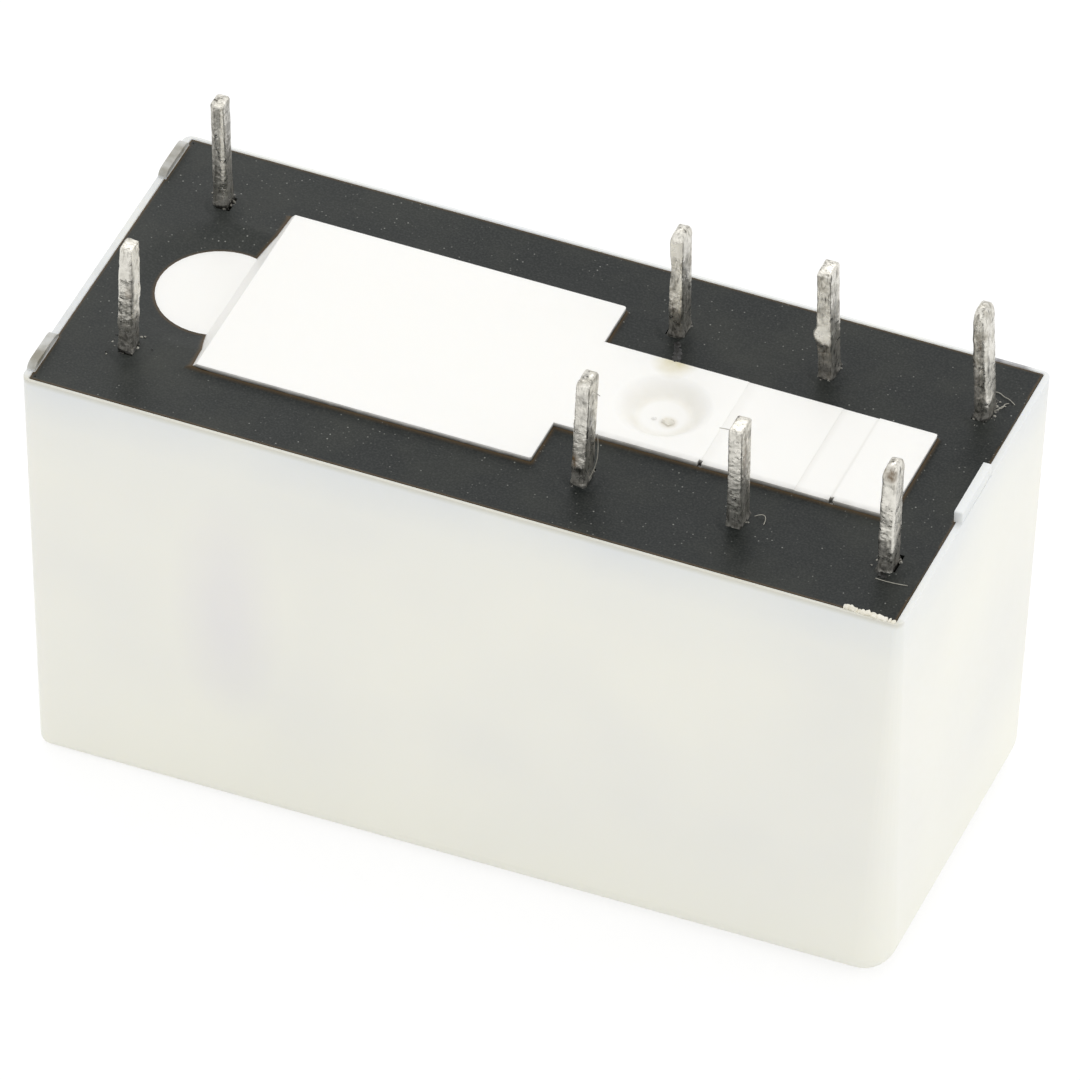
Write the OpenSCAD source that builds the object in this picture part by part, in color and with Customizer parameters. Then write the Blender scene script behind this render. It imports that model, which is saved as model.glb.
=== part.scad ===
// Two-pole changeover power relay for a circuit board, lying on its roof with the pins up.
// Millimetres. Origin at the centre of the roof, Z up towards the pins, X towards the contact end.

/* [Cap] */
// Length of the case at its open rim
case_l = 29; // [28.6:0.1:31]
// Width of the case at its open rim
case_w = 12.7; // [12.5:0.1:13.6]
// Height from the roof to the open rim
rim_h = 15.3; // [15:0.1:17]
// How far each wall leans in between rim and roof
draft_in = 0.23; // [0.05:0.01:0.3]
// Thickness of the cap's walls
cap_wall = 0.8; // [0.6:0.05:0.85]
// Thickness of the cap's roof
roof_t = 0.9; // [0.6:0.05:1.1]
// Rounding of the roof's edge at the contact end
roof_r = 1.1; // [0.6:0.05:1.2]
// Rounding of the roof's edge at the coil end
coil_roof_r = 0.4; // [0.3:0.05:0.7]
// Rounding of the upright corners at the rim
corner_r = 0.3; // [0.15:0.05:0.5]
// Width of the bare land on top of the rim, along the sides
lip_t = 0.09; // [0.07:0.01:0.3]
// Width of the bare land on top of the rim, at the two ends
end_lip_t = 0.2; // [0.1:0.01:0.3]

/* [Stand-off feet] */
// Height of the feet above the rim, which sets the board's seat
foot_h = 0.4; // [0.35:0.05:0.8]
// Thickness of a foot
foot_t = 0.27; // [0.2:0.01:0.4]
// Width of the single foot at the contact end
end_foot_w = 2.5; // [1.2:0.1:4]
// Width of each of the two feet at the coil end
corner_foot_w = 1.8; // [1:0.1:2.4]
// Distance of a coil-end foot from the side of the case
corner_foot_in = 0.45; // [0.35:0.05:1.2]

/* [Base and potting] */
// Thickness of the base plate
base_t = 1.2; // [0.9:0.05:1.4]
// Depth of the potting over the base plate
seal_t = 0.8; // [0.6:0.05:1]
// How far the potting stays below the rim
seal_drop = 0.03; // [0.02:0.01:0.2]
// Distance from the coil pins to the wide pad that shows through the potting
pad_to_coil = 1.69; // [1.5:0.01:3]
// Width of the wide pad
pad_w = 7.7; // [6:0.1:9]
// Distance from the wide pad's inner end to the first contact pins
pad_to_pins = 1.72; // [1.2:0.02:2.4]
// Width of the narrow strip between the pin rows
strip_w = 4.1; // [3:0.1:5.4]
// Height of pad and strip above the potting
pad_rise = 0.26; // [0.15:0.01:0.35]
// Slope at the coil end of the wide pad
pad_slope = 0.6; // [0.4:0.02:0.7]
// Radius of the hollow that the potting sank into round the tongue
sink_r = 3; // [2.6:0.05:3.1]
// Depth of that hollow at its middle
sink_depth = 0.45; // [0.3:0.01:0.5]
// Radius of the half-round tongue at the coil end
tongue_r = 2; // [1.2:0.1:2.2]
// Height of the tongue above the potting at its edge
tongue_rise = 0.04; // [0.02:0.01:0.1]
// Diameter of the gate dimple in the strip
dimple_d = 3.1; // [2:0.05:3.5]
// Depth of the gate dimple
dimple_depth = 0.45; // [0.2:0.01:0.5]
// Height of the ring of potting drawn up round each pin
collar_h = 0.06; // [0.04:0.01:0.2]

/* [Pins] */
// Pitch of the contact pins along the case
pin_pitch = 5.04; // [4.9:0.02:5.1]
// From the side of the case to its row of pins
pin_side = 2.6; // [2.5:0.05:2.7]
// From the contact end of the case to the last pins
no_margin = 1.3; // [1.25:0.05:1.6]
// From the coil end of the case to the coil pins
coil_margin = 2.5; // [2.2:0.05:2.8]
// Length of the pins beyond the feet
pin_len = 3.7; // [2.5:0.1:5]
// Thickness of the contact strip, along the case
pin_t = 0.45; // [0.4:0.05:0.55]
// Width of a contact pin, across the case
pin_w = 0.8; // [0.5:0.05:0.9]
// Thickness of a coil pin, along the case
coil_pin_t = 0.45; // [0.4:0.05:0.6]
// Width of a coil pin, across the case
coil_pin_w = 0.65; // [0.5:0.05:0.8]

/* [Magnet] */
// Thickness of the yoke
yoke_t = 1.3; // [1:0.05:1.5]
// Thickness of the armature
arm_t = 1.1; // [0.8:0.05:1.3]
// Angle of the armature at rest, when the coil is off
arm_tilt = 3.7; // [3:0.1:4.2]
// Diameter of the core as a share of the winding's
core_share = 0.49; // [0.4:0.01:0.54]
// How far the core's pole head reaches past the core
pole_over = 0.7; // [0.4:0.05:0.8]
// Thickness of the bobbin's flanges
flange_t = 0.9; // [0.7:0.05:1.1]
// Wall of the bobbin's barrel
barrel_t = 0.6; // [0.4:0.05:0.8]

/* [Contacts] */
// Diameter of the contact heads
contact_d = 2.3; // [1.8:0.1:2.4]
// Height of a contact head
head_t = 0.5; // [0.35:0.05:0.6]
// Radius of the contacts' domed faces
dome_r = 5; // [3:0.5:12]
// Distance from the actuator card to the middle of the contacts
contact_up = 2.05; // [1.8:0.05:2.6]
// Thickness of the contact springs
spring_t = 0.2; // [0.12:0.01:0.25]
// Thickness of the actuator card
card_t = 1; // [0.8:0.05:1.2]

/* [Hidden] */
$fn = 48;
hull_fn = 32;

// Clearances: bonded and riveted faces, seated faces, sliding guides, closed contacts
bond_gap = 0.01;
seat_gap = 0.02;
slide_gap = 0.1;
touch_gap = 0.03;

// Levels of potting, base plate and board seat
seal_z = rim_h - seal_drop;
plate_z1 = seal_z - seal_t;
plate_z0 = plate_z1 - base_t;
pad_z = seal_z + pad_rise;
seat_z = rim_h + foot_h;
tip_z = seat_z + pin_len;

// Room inside the cap, at the roof where the draft leaves least
inner_x = case_l / 2 - draft_in - cap_wall;
inner_y = case_w / 2 - draft_in - cap_wall;
plate_gap = 0.05;
foot_set = 0.02;
mouth_r = 0.06;

// Where the pins stand
pin_y = case_w / 2 - pin_side;
no_x = case_l / 2 - no_margin;
com_x = no_x - pin_pitch;
nc_x = com_x - pin_pitch;
coil_x = coil_margin - case_l / 2;

// Pads that show through the potting
pad_x1 = nc_x - pad_to_pins;
pad_x0 = coil_x + pad_to_coil;
pad_l = pad_x1 - pad_x0;
strip_end_in = 0.8;
strip_x1 = no_x - strip_end_in;
tongue_in = 0.3;
tongue_x = pad_x0 - tongue_in;
sink_ball_r = (pow(sink_r, 2) + pow(sink_depth, 2)) / (2 * sink_depth);
sink_ball_z = seal_z - sink_depth + sink_ball_r;
tongue_z = sink_ball_z - sqrt(pow(sink_ball_r, 2) - pow(tongue_r, 2)) + tongue_rise;
pad_r = 0.08;
dimple_slope = 0.35;
gate_d = 0.4;
gate_h = 0.06;
step_depth = 0.015;
nick_w = 0.14;
nick_in = 0.16;

// Marks along the strip, as shares of the pitch from the break pins and from the common pins
dimple_x = nc_x + 0.214 * pin_pitch;
step_x0 = com_x - 0.389 * pin_pitch;
groove_x0 = com_x + 0.226 * pin_pitch;
groove_x1 = com_x + 0.464 * pin_pitch;

// Levels of card, coil and yoke, counted from the roof and from the base plate
card_roof_gap = 0.35;
card_z0 = roof_t + card_roof_gap;
card_z1 = card_z0 + card_t;
card_mid_z = (card_z0 + card_z1) / 2;
card_flange_gap = 0.2;
leaf_t = 0.15;
pivot_z = plate_z0 - leaf_t - 4 * seat_gap;
yoke_z0 = pivot_z - yoke_t;
flange_z0 = card_z1 + card_flange_gap;
flange_z1 = yoke_z0 - seat_gap;
coil_z = (flange_z0 + flange_z1) / 2;

// Armature and card: the card's end stays clear of the cap's end wall
card_wall_gap = 0.2;
card_end_w = 0.35;
card_x0 = card_wall_gap - inner_x;
tongue_slot_x0 = card_x0 + card_end_w;
tongue_slot_x1 = tongue_slot_x0 + arm_t / cos(arm_tilt) + 2 * slide_gap;
arm_reach = pivot_z - card_mid_z;
arm_x = tongue_slot_x1 - slide_gap + arm_reach * tan(arm_tilt);
card_travel = arm_reach * arm_tilt * PI / 180;
pole_gap = 0.05;
pole_x = arm_x + pole_gap;

// Coil, from the pole to the wall in front of the contacts
barrier_t = 0.6;
barrier_gap = 0.25;
barrier_x1 = nc_x - pin_t / 2 - barrier_gap;
barrier_x0 = barrier_x1 - barrier_t;
yoke_x1 = barrier_x0 - barrier_gap;
yoke_x0 = yoke_x1 - yoke_t;
pole_head_t = 0.9;
flange_x0 = pole_x + pole_head_t;
flange_x1 = yoke_x0 - seat_gap;
flange_wall_gap = 0.47;
flange_y = inner_y - flange_wall_gap;
winding_in = 0.3;
winding_r = min(flange_z1 - coil_z, flange_y) - winding_in;
core_r = core_share * winding_r;
barrel_r = core_r + seat_gap + barrel_t;
spigot_in = 0.6;
spigot_r = core_r - spigot_in;
yoke_bend_r = 0.3;

// Ears of the bobbin that hold the coil pins beside the armature
ear_wall = 0.25;
ear_h = 3.62;
ear_out = 0.7;
ear_y0 = pin_y - coil_pin_w / 2 - ear_wall;
ear_z1 = plate_z0 - seat_gap;
ear_z0 = ear_z1 - ear_h;
ear_x0 = coil_x - ear_out;
post_l = 1.25;
arm_y = ear_y0 - 2 * slide_gap;
yoke_in = 0.65;
yoke_y = flange_y - yoke_in;
neck_up = 0.9;
neck_z = card_z1 + neck_up;
tongue_y = 1.2;
lead_d = 0.2;
lead_z = ear_z0 - post_l / 2;

// Leaf spring of the armature, staked on two pips of the yoke
leaf_y = 1.6;
leaf_l = 4.2;
leaf_drop = 3;
leaf_bend_r = 0.4;
leaf_pip_r = 0.5;
leaf_pip_in = 3;

// Contact springs: each hangs on its common terminal and reaches through the card
spring_drop = 0.7;
rivet_drop = 0.9;
spring_x = com_x + pin_t / 2 + seat_gap;
spring_top_z = plate_z0 - spring_drop;
rivet_z = spring_top_z - rivet_drop;
contact_z = card_z1 + contact_up;
spring_reach = spring_top_z - card_mid_z;
spring_turn = card_travel / spring_reach * 180 / PI;
leg_wall_gap = 0.17;
leg_w = 2 * (inner_y - leg_wall_gap - pin_y);
spring_w = leg_w - 2 * slide_gap;
spring_past = 0.3;
tip_w = 1.6;
contact_r = contact_d / 2;
shank_r = 0.6;
tail_r = 0.85;
tail_t = 0.15;

// Faces of the fixed contacts: closed on the break side at rest, on the make side when pulled in
contact_arm = spring_top_z - contact_z;
nc_face_x = spring_x - head_t - touch_gap;
swing_x = (spring_t + head_t) * cos(spring_turn) + contact_arm * sin(spring_turn);
no_face_x = spring_x + swing_x + dome_r * (1 - cos(spring_turn)) + touch_gap;
nc_leg_x = nc_face_x - head_t;
no_leg_x = no_face_x + head_t;
bend_r = 0.25;
strip_z1 = plate_z0 - seat_gap - bend_r;
strip_z0 = strip_z1 - pin_t;
leg_up = 0.75;
wall_up = 0.35;
leg_z0 = card_z1 + leg_up;
wall_z0 = card_z1 + wall_up;
pole_wall_t = 0.8;
rib_t = 0.7;
rivet_r = 0.48;
rivet_head_r = 0.85;
rivet_head_t = 0.3;

// Lean of the case at a height, and the slope inside the rim that the potting fills
function lean(z) = draft_in * (rim_h - z) / rim_h;
function lip_in(z) = [
  for (land = [end_lip_t, lip_t])
    land + (cap_wall - land) * (rim_h - z) / (rim_h - plate_z1)
];
function sides() = [-1, 1];

// Thin outline of the case at a height, drawn in by a distance at the ends and one at the sides
module slice(z, inset, r, t) {
  x = case_l / 2 - lean(z) - inset[0] - r;
  y = case_w / 2 - lean(z) - inset[1] - r;
  for (i = sides(), j = sides())
    translate([i * x, j * y, z])
      cylinder(r = r, h = t, $fn = hull_fn);
}

// Ball with a true lowest point, for the rounded roof and the sunken potting
module ball(r) {
  rotate_extrude($fn = hull_fn)
    intersection() {
      circle(r = r, $fn = hull_fn);
      translate([0, -r])
        square([r, 2 * r]);
    }
}

// Rectangle with round corners, centred
module round_rect(l, w, r) {
  square([l - 2 * r, w], center = true);
  square([l, w - 2 * r], center = true);
  for (i = sides(), j = sides())
    translate([i * (l / 2 - r), j * (w / 2 - r)])
      circle(r = r);
}

// Upright tongue in the plane across the case, with two round corners at its low end
module tongue_2d(w, z0, z1, r) {
  translate([-w / 2, z0 + r])
    square([w, z1 - z0 - r]);
  translate([r - w / 2, z0])
    square([w - 2 * r, r]);
  for (i = sides())
    translate([i * (w / 2 - r), z0 + r])
      circle(r = r);
}

// Upright bar in a plane, with its top corners cut off
module bar_2d(w, z0, z1, cut) {
  polygon([
    [-w / 2, z0], [w / 2, z0], [w / 2, z1 - cut],
    [w / 2 - cut, z1], [cut - w / 2, z1], [-w / 2, z1 - cut]
  ]);
}

// Quarter turn of a strip, in the first quadrant
module bend_2d(r_in, t) {
  intersection() {
    difference() {
      circle(r = r_in + t);
      circle(r = r_in);
    }
    square(r_in + t);
  }
}

// Extrudes a lengthwise section over a width across the case
module across(w) {
  rotate([90, 0, 0])
    linear_extrude(w, center = true)
      children();
}

// Extrudes a section across the case from x0 over a thickness
module along(x0, t) {
  translate([x0, 0, 0])
    rotate([90, 0, 90])
      linear_extrude(t)
        children();
}

// Round bar that points along the case
module rod(x0, x1, r) {
  translate([x0, 0, 0])
    rotate([0, 90, 0])
      cylinder(r = r, h = x1 - x0);
}

// Contact head with a domed face, pointing along the case
module contact_head() {
  rotate([0, 90, 0])
    intersection() {
      cylinder(r = contact_r, h = head_t);
      translate([0, 0, head_t - dome_r])
        sphere(r = dome_r, $fn = 96);
    }
}

// Straight pin with a chamfered tip, standing at the origin
module pin(t, w, z0) {
  tip_cut = 0.14;
  intersection() {
    across(2 * w)
      bar_2d(t, z0, tip_z, tip_cut);
    along(-t, 2 * t)
      bar_2d(w, z0, tip_z, tip_cut);
  }
}

// Every contact pin's place, then every coil pin's place
module at_contact_pins() {
  for (x = [nc_x, com_x, no_x], s = sides())
    translate([x, s * pin_y, 0])
      children();
}

module at_coil_pins() {
  for (s = sides())
    translate([coil_x, s * pin_y, 0])
      children();
}

// Straight passages for all pins, wider by a gap
module pin_passages(gap, z0, h) {
  at_contact_pins()
    translate([-pin_t / 2 - gap, -pin_w / 2 - gap, z0])
      cube([pin_t + 2 * gap, pin_w + 2 * gap, h]);
  at_coil_pins()
    translate([-coil_pin_t / 2 - gap, -coil_pin_w / 2 - gap, z0])
      cube([coil_pin_t + 2 * gap, coil_pin_w + 2 * gap, h]);
}

// Stand-off feet on the rim, set in a little from the wall's outer face and rooted in the rim
module foot(w, r) {
  root = 0.5;
  along(0, foot_t)
    mirror([0, 1])
      tongue_2d(w, -seat_z, root - rim_h, r);
}

module feet() {
  end_foot_r = 0.06;
  corner_foot_r = 0.35;
  translate([case_l / 2 - foot_set - foot_t, 0, 0])
    foot(end_foot_w, end_foot_r);
  for (s = sides())
    translate([foot_set - case_l / 2, s * (case_w / 2 - corner_foot_in - corner_foot_w / 2), 0])
      foot(corner_foot_w, corner_foot_r);
}

// White moulded box, drafted, with a rounded roof and a sloping mouth
module cap() {
  thin = 0.05;
  inner_r = 0.3;
  mouth_drop = 0.5;
  mouth_z = plate_z1 - mouth_drop;
  color("whitesmoke") {
    difference() {
      hull() {
        slice(rim_h - thin, [0, 0], corner_r, thin);
        for (i = sides(), j = sides()) {
          r = i > 0 ? roof_r : coil_roof_r;
          translate([i * (case_l / 2 - draft_in - r), j * (case_w / 2 - draft_in - r), r])
            ball(r);
        }
      }
      hull() {
        slice(roof_t, [cap_wall, cap_wall], inner_r, thin);
        slice(rim_h, [cap_wall, cap_wall], inner_r, thin);
      }
      hull() {
        slice(mouth_z, lip_in(mouth_z), mouth_r, thin);
        slice(rim_h, lip_in(rim_h), mouth_r, thin);
      }
    }
    feet();
  }
}

// Pads of the base that rise through the potting, grown by a gap for the cut in it
module pads(gap) {
  z0 = plate_z1 - gap;
  pad_mid = (pad_x0 + pad_x1) / 2;
  intersection() {
    translate([pad_mid, 0, z0])
      linear_extrude(pad_z + gap - z0)
        round_rect(pad_l + 2 * gap, pad_w + 2 * gap, pad_r);
    across(case_w)
      polygon([
        [pad_x0 - gap, z0], [pad_x1 + gap, z0], [pad_x1 + gap, pad_z + gap],
        [pad_x0 - gap + pad_slope, pad_z + gap], [pad_x0 - gap, pad_z + gap - pad_slope]
      ]);
  }
  translate([(pad_mid + strip_x1) / 2, 0, z0])
    linear_extrude(pad_z + gap - z0)
      round_rect(strip_x1 - pad_mid + 2 * gap, strip_w + 2 * gap, pad_r);
  translate([tongue_x, 0, z0])
    cylinder(r = tongue_r + gap, h = tongue_z + gap - z0);
}

// Gate dimple, parting steps and nicks in the strip's outer face
module strip_marks() {
  dimple_r = dimple_d / 2;
  translate([dimple_x, 0, pad_z - dimple_depth])
    difference() {
      cylinder(r1 = dimple_r - dimple_slope, r2 = dimple_r, h = dimple_depth);
      cylinder(d = gate_d, h = gate_h);
    }
  translate([step_x0, -strip_w, pad_z - step_depth])
    cube([groove_x0 - step_x0, 2 * strip_w, pad_rise]);
  translate([groove_x0, -strip_w, pad_z - 2 * step_depth])
    cube([groove_x1 - groove_x0, 2 * strip_w, pad_rise]);
  for (x = [step_x0, groove_x1])
    translate([x - nick_w / 2, -strip_w / 2 - nick_in, seal_z])
      cube([nick_w, 2 * nick_in, pad_rise + nick_in]);
}

// Walls inside the base: one in front of the coil, one between the poles with ribs behind the contacts
module chamber_walls() {
  wall_h = plate_z1 - wall_z0;
  barrier_y = inner_y - plate_gap;
  translate([barrier_x0, -barrier_y, wall_z0])
    cube([barrier_t, 2 * barrier_y, wall_h]);
  translate([barrier_x0, -pole_wall_t / 2, wall_z0])
    cube([no_x - barrier_x0, pole_wall_t, wall_h]);
  rib_y = pin_y - tail_r - seat_gap;
  rib_z0 = contact_z + contact_r;
  for (x = [nc_leg_x - pin_t - seat_gap - rib_t, no_leg_x + pin_t + seat_gap])
    translate([x, -rib_y, rib_z0])
      cube([rib_t, 2 * rib_y, strip_z0 - bend_r - rib_z0]);
}

// Blocks under the plate that the bent terminals seat against
module terminal_seats() {
  seat_in = 0.4;
  seat_y = leg_w / 2 - seat_in;
  nc_seat_x = nc_x + pin_t / 2 + bend_r;
  no_seat_x = no_leg_x + pin_t;
  for (s = sides()) {
    translate([nc_seat_x, s * pin_y - seat_y, strip_z1 + seat_gap])
      cube([nc_leg_x - pin_t - bend_r - nc_seat_x, 2 * seat_y, plate_z1 - strip_z1 - seat_gap]);
    translate([no_seat_x, s * pin_y - seat_y, strip_z1 + seat_gap])
      cube([no_x - pin_t / 2 - bend_r - no_seat_x, 2 * seat_y, plate_z1 - strip_z1 - seat_gap]);
  }
}

// White moulded plate that closes the cap
module base() {
  plate_l = 2 * (inner_x - plate_gap + draft_in / 2);
  plate_w = 2 * (inner_y - plate_gap + draft_in / 2);
  color("white")
    difference() {
      union() {
        translate([0, 0, plate_z0])
          linear_extrude(base_t)
            round_rect(plate_l, plate_w, corner_r);
        pads(0);
        chamber_walls();
        terminal_seats();
      }
      strip_marks();
      pin_passages(seat_gap, plate_z0 - base_t, 3 * base_t);
    }
}

// Ring of potting drawn up round a pin, with its root sunk in the potting
module collar() {
  root_r = 0.8;
  top_r = 0.55;
  translate([0, 0, seal_z - collar_h])
    cylinder(r1 = root_r, r2 = top_r, h = 2 * collar_h);
}

// Black potting that fills the sloping mouth round pads and pins
module epoxy_seal() {
  thin = 0.01;
  z0 = plate_z1 + bond_gap;
  bond = [bond_gap, bond_gap];
  color("dimgray")
    difference() {
      union() {
        hull() {
          slice(z0, lip_in(z0) + bond, mouth_r, thin);
          slice(seal_z - thin, lip_in(seal_z) + bond, mouth_r, thin);
        }
        at_contact_pins()
          collar();
        at_coil_pins()
          collar();
      }
      pads(bond_gap);
      translate([tongue_x, 0, sink_ball_z])
        ball(sink_ball_r);
      pin_passages(bond_gap, plate_z1, 2 * seal_t);
      feet();
    }
}

// Moulded coil former with two flanges and the ears that hold the coil pins
module bobbin() {
  foot_y0 = yoke_y + slide_gap;
  color("ivory")
    difference() {
      union() {
        translate([flange_x0, -flange_y, flange_z0])
          cube([flange_t, 2 * flange_y, flange_z1 - flange_z0]);
        translate([flange_x1 - flange_t, -flange_y, flange_z0])
          cube([flange_t, 2 * flange_y, yoke_z0 - yoke_bend_r - flange_z0]);
        translate([0, 0, coil_z])
          rod(flange_x0, flange_x1, barrel_r);
        for (s = sides()) {
          translate([ear_x0, s > 0 ? ear_y0 : -flange_y, ear_z0])
            cube([flange_x0 + flange_t - ear_x0, flange_y - ear_y0, ear_z1 - ear_z0]);
          translate([flange_x1 - flange_t, s > 0 ? foot_y0 : -flange_y, coil_z])
            cube([flange_t, flange_y - foot_y0, ear_z1 - coil_z]);
        }
      }
      translate([0, 0, coil_z])
        rod(flange_x0 - flange_t, flange_x1 + flange_t, core_r + seat_gap);
      pin_passages(seat_gap, ear_z0 - post_l, tip_z);
      for (s = sides())
        translate([0, s * pin_y, lead_z])
          rod(flange_x0 - flange_t, flange_x0 + 2 * flange_t, lead_d);
    }
}

// Copper winding between the flanges
module coil_winding() {
  color("peru")
    translate([0, 0, coil_z])
      difference() {
        rod(flange_x0 + flange_t + seat_gap, flange_x1 - flange_t - seat_gap, winding_r);
        rod(flange_x0, flange_x1, barrel_r + bond_gap);
      }
}

// End of the winding: a straight run to the coil pin and the turns wrapped on it
module lead_wire(s) {
  wrap_r = norm([coil_pin_t, coil_pin_w]) / 2 + bond_gap;
  turn_pitch = 0.96 * lead_d;
  color("peru")
    difference() {
      union() {
        translate([0, s * pin_y, lead_z])
          rod(coil_x + wrap_r, flange_x0 + flange_t, lead_d / 2);
        translate([coil_x, s * pin_y, lead_z])
          rotate_extrude()
            for (i = [-1.5:1:1.5])
              translate([wrap_r + lead_d / 2, i * turn_pitch])
                circle(d = lead_d);
      }
      translate([coil_x, s * pin_y, lead_z - post_l])
        cylinder(r = wrap_r, h = 2 * post_l);
    }
}

// Soft iron core with a pole head and a spigot riveted into the yoke
module core() {
  color("slategray")
    translate([0, 0, coil_z]) {
      rod(pole_x, pole_x + pole_head_t - seat_gap, core_r + pole_over);
      rod(pole_x, yoke_x0 - seat_gap, core_r);
      rod(pole_x, yoke_x1, spigot_r - bond_gap);
    }
}

// Bent iron yoke: long leg beside the coil, short leg behind it, narrow end for the armature
module yoke() {
  leg_end_up = 0.5;
  leg_end_z = flange_z0 + leg_end_up;
  end_x = arm_x + touch_gap;
  neck_l = flange_x0 + flange_t + slide_gap - end_x;
  color("gray")
    difference() {
      across(2 * yoke_y) {
        translate([end_x, yoke_z0])
          square([yoke_x0 - yoke_bend_r - end_x, yoke_t]);
        translate([yoke_x0 - yoke_bend_r, yoke_z0 - yoke_bend_r])
          bend_2d(yoke_bend_r, yoke_t);
        translate([yoke_x0, leg_end_z])
          square([yoke_t, yoke_z0 - yoke_bend_r - leg_end_z]);
      }
      for (s = sides())
        translate([end_x - neck_l, s > 0 ? arm_y : -arm_y - yoke_y, yoke_z0 - yoke_t])
          cube([2 * neck_l, yoke_y, 3 * yoke_t]);
      translate([0, 0, coil_z])
        rod(yoke_x0 - yoke_t, yoke_x1 + yoke_t, spigot_r);
    }
  color("gray")
    at_leaf_pips()
      translate([0, 0, pivot_z - leaf_t])
        cylinder(r = leaf_pip_r - bond_gap, h = 2 * leaf_t + seat_gap);
}

// Where the leaf spring is staked on the yoke
module at_leaf_pips() {
  for (s = sides())
    translate([arm_x + leaf_pip_in, s * leaf_y / 2, 0])
      children();
}

// Iron plate that tilts on the yoke's edge, with a tongue that drives the card
module armature() {
  head_gap = 0.25;
  shoulder_r = 0.6;
  tongue_end_r = 0.3;
  color("lightslategray")
    translate([arm_x, 0, pivot_z])
      rotate([0, arm_tilt, 0])
        translate([-arm_x, 0, -pivot_z])
          along(arm_x - arm_t, arm_t) {
            tongue_2d(2 * arm_y, neck_z, pivot_z - head_gap, shoulder_r);
            tongue_2d(2 * tongue_y, card_z0 + seat_gap, neck_z + arm_t, tongue_end_r);
          }
}

// Leaf staked on the yoke and bent down behind the armature
module armature_spring() {
  leaf_z0 = pivot_z + seat_gap;
  leaf_low_z = pivot_z - leaf_drop;
  leaf_end_x = arm_x + leaf_l;
  back_x = arm_x - arm_t / cos(arm_tilt) - (pivot_z - leaf_low_z) * tan(arm_tilt) - touch_gap;
  color("tan")
    difference() {
      across(2 * leaf_y) {
        translate([back_x + leaf_bend_r, leaf_z0])
          square([leaf_end_x - back_x - leaf_bend_r, leaf_t]);
        translate([back_x + leaf_bend_r, leaf_z0 - leaf_bend_r])
          mirror([1, 0])
            bend_2d(leaf_bend_r, leaf_t);
        translate([back_x - leaf_t, leaf_low_z])
          square([leaf_t, leaf_z0 - leaf_bend_r - leaf_low_z]);
      }
      at_leaf_pips()
        translate([0, 0, pivot_z - yoke_t])
          cylinder(r = leaf_pip_r, h = 2 * yoke_t);
    }
}

// Moulded slider between coil and roof, hung on the armature's tongue and the springs' tips
module actuator_card() {
  card_r = 0.3;
  beam_side = 0.8;
  bar_out = 1.1;
  bar_side = 0.45;
  beam_y = tongue_y + beam_side;
  bar_x0 = spring_x - bar_out;
  bar_x1 = spring_x + spring_t + bar_out;
  bar_y = pin_y + tip_w / 2 + bar_side;
  color("gainsboro")
    translate([0, 0, card_z0])
      linear_extrude(card_t)
        difference() {
          union() {
            translate([(card_x0 + bar_x1) / 2, 0])
              round_rect(bar_x1 - card_x0, 2 * beam_y, card_r);
            translate([(bar_x0 + bar_x1) / 2, 0])
              round_rect(bar_x1 - bar_x0, 2 * bar_y, card_r);
          }
          translate([tongue_slot_x0, -tongue_y - slide_gap])
            square([tongue_slot_x1 - tongue_slot_x0, 2 * (tongue_y + slide_gap)]);
          for (s = sides())
            translate([spring_x - slide_gap, s * pin_y - tip_w / 2 - slide_gap])
              square([spring_t + 2 * slide_gap, tip_w + 2 * slide_gap]);
        }
}

// Straight coil pin, held in the bobbin's ear, with its inner end as the post for the winding's end
module coil_terminal(s) {
  color("silver")
    translate([coil_x, s * pin_y, 0])
      pin(coil_pin_t, coil_pin_w, ear_z0 - post_l);
}

// Fixed terminal: pin, step along the base and upright leg whose contact face is at a reach from the pin
module fixed_terminal(reach) {
  leg_end_r = 0.5;
  first_x = pin_t / 2 + bend_r;
  second_x = reach - pin_t - bend_r;
  color("silver")
    difference() {
      union() {
        pin(pin_t, pin_w, strip_z1 + bend_r);
        intersection() {
          across(leg_w) {
            translate([first_x, strip_z1 + bend_r])
              rotate(180)
                bend_2d(bend_r, pin_t);
            translate([first_x, strip_z0])
              square([second_x - first_x, pin_t]);
            translate([second_x, strip_z0 - bend_r])
              bend_2d(bend_r, pin_t);
            translate([reach - pin_t, leg_z0])
              square([pin_t, strip_z0 - bend_r - leg_z0]);
          }
          along(-reach, 3 * reach)
            tongue_2d(leg_w, leg_z0, plate_z0, leg_end_r);
        }
      }
      translate([0, 0, contact_z])
        rod(0, 2 * reach, shank_r);
    }
}

module nc_terminal(s) {
  translate([nc_x, s * pin_y, 0])
    fixed_terminal(nc_leg_x - nc_x);
}

module no_terminal(s) {
  translate([no_x, s * pin_y, 0])
    mirror([1, 0, 0])
      fixed_terminal(no_x - no_leg_x);
}

// Common terminal: pin and a short blade that carries the spring
module com_terminal(s) {
  blade_drop = 1.4;
  blade_r = 0.4;
  color("silver")
    translate([com_x, s * pin_y, 0])
      difference() {
        union() {
          pin(pin_t, pin_w, rivet_z);
          along(-pin_t / 2, pin_t)
            tongue_2d(spring_w, rivet_z - blade_drop, plate_z0 - seat_gap, blade_r);
        }
        translate([0, 0, rivet_z])
          rod(-pin_t, pin_t, rivet_r + bond_gap);
      }
}

// Fixed contact rivet: domed head, shank and tail
module contact_rivet() {
  color("lightgray") {
    contact_head();
    rod(-pin_t, 0, shank_r - bond_gap);
    rod(-pin_t - tail_t - bond_gap, -pin_t - bond_gap, tail_r);
    rod(-pin_t - bond_gap, -pin_t, shank_r - bond_gap);
  }
}

module nc_contact(s) {
  translate([nc_leg_x, s * pin_y, contact_z])
    contact_rivet();
}

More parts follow.
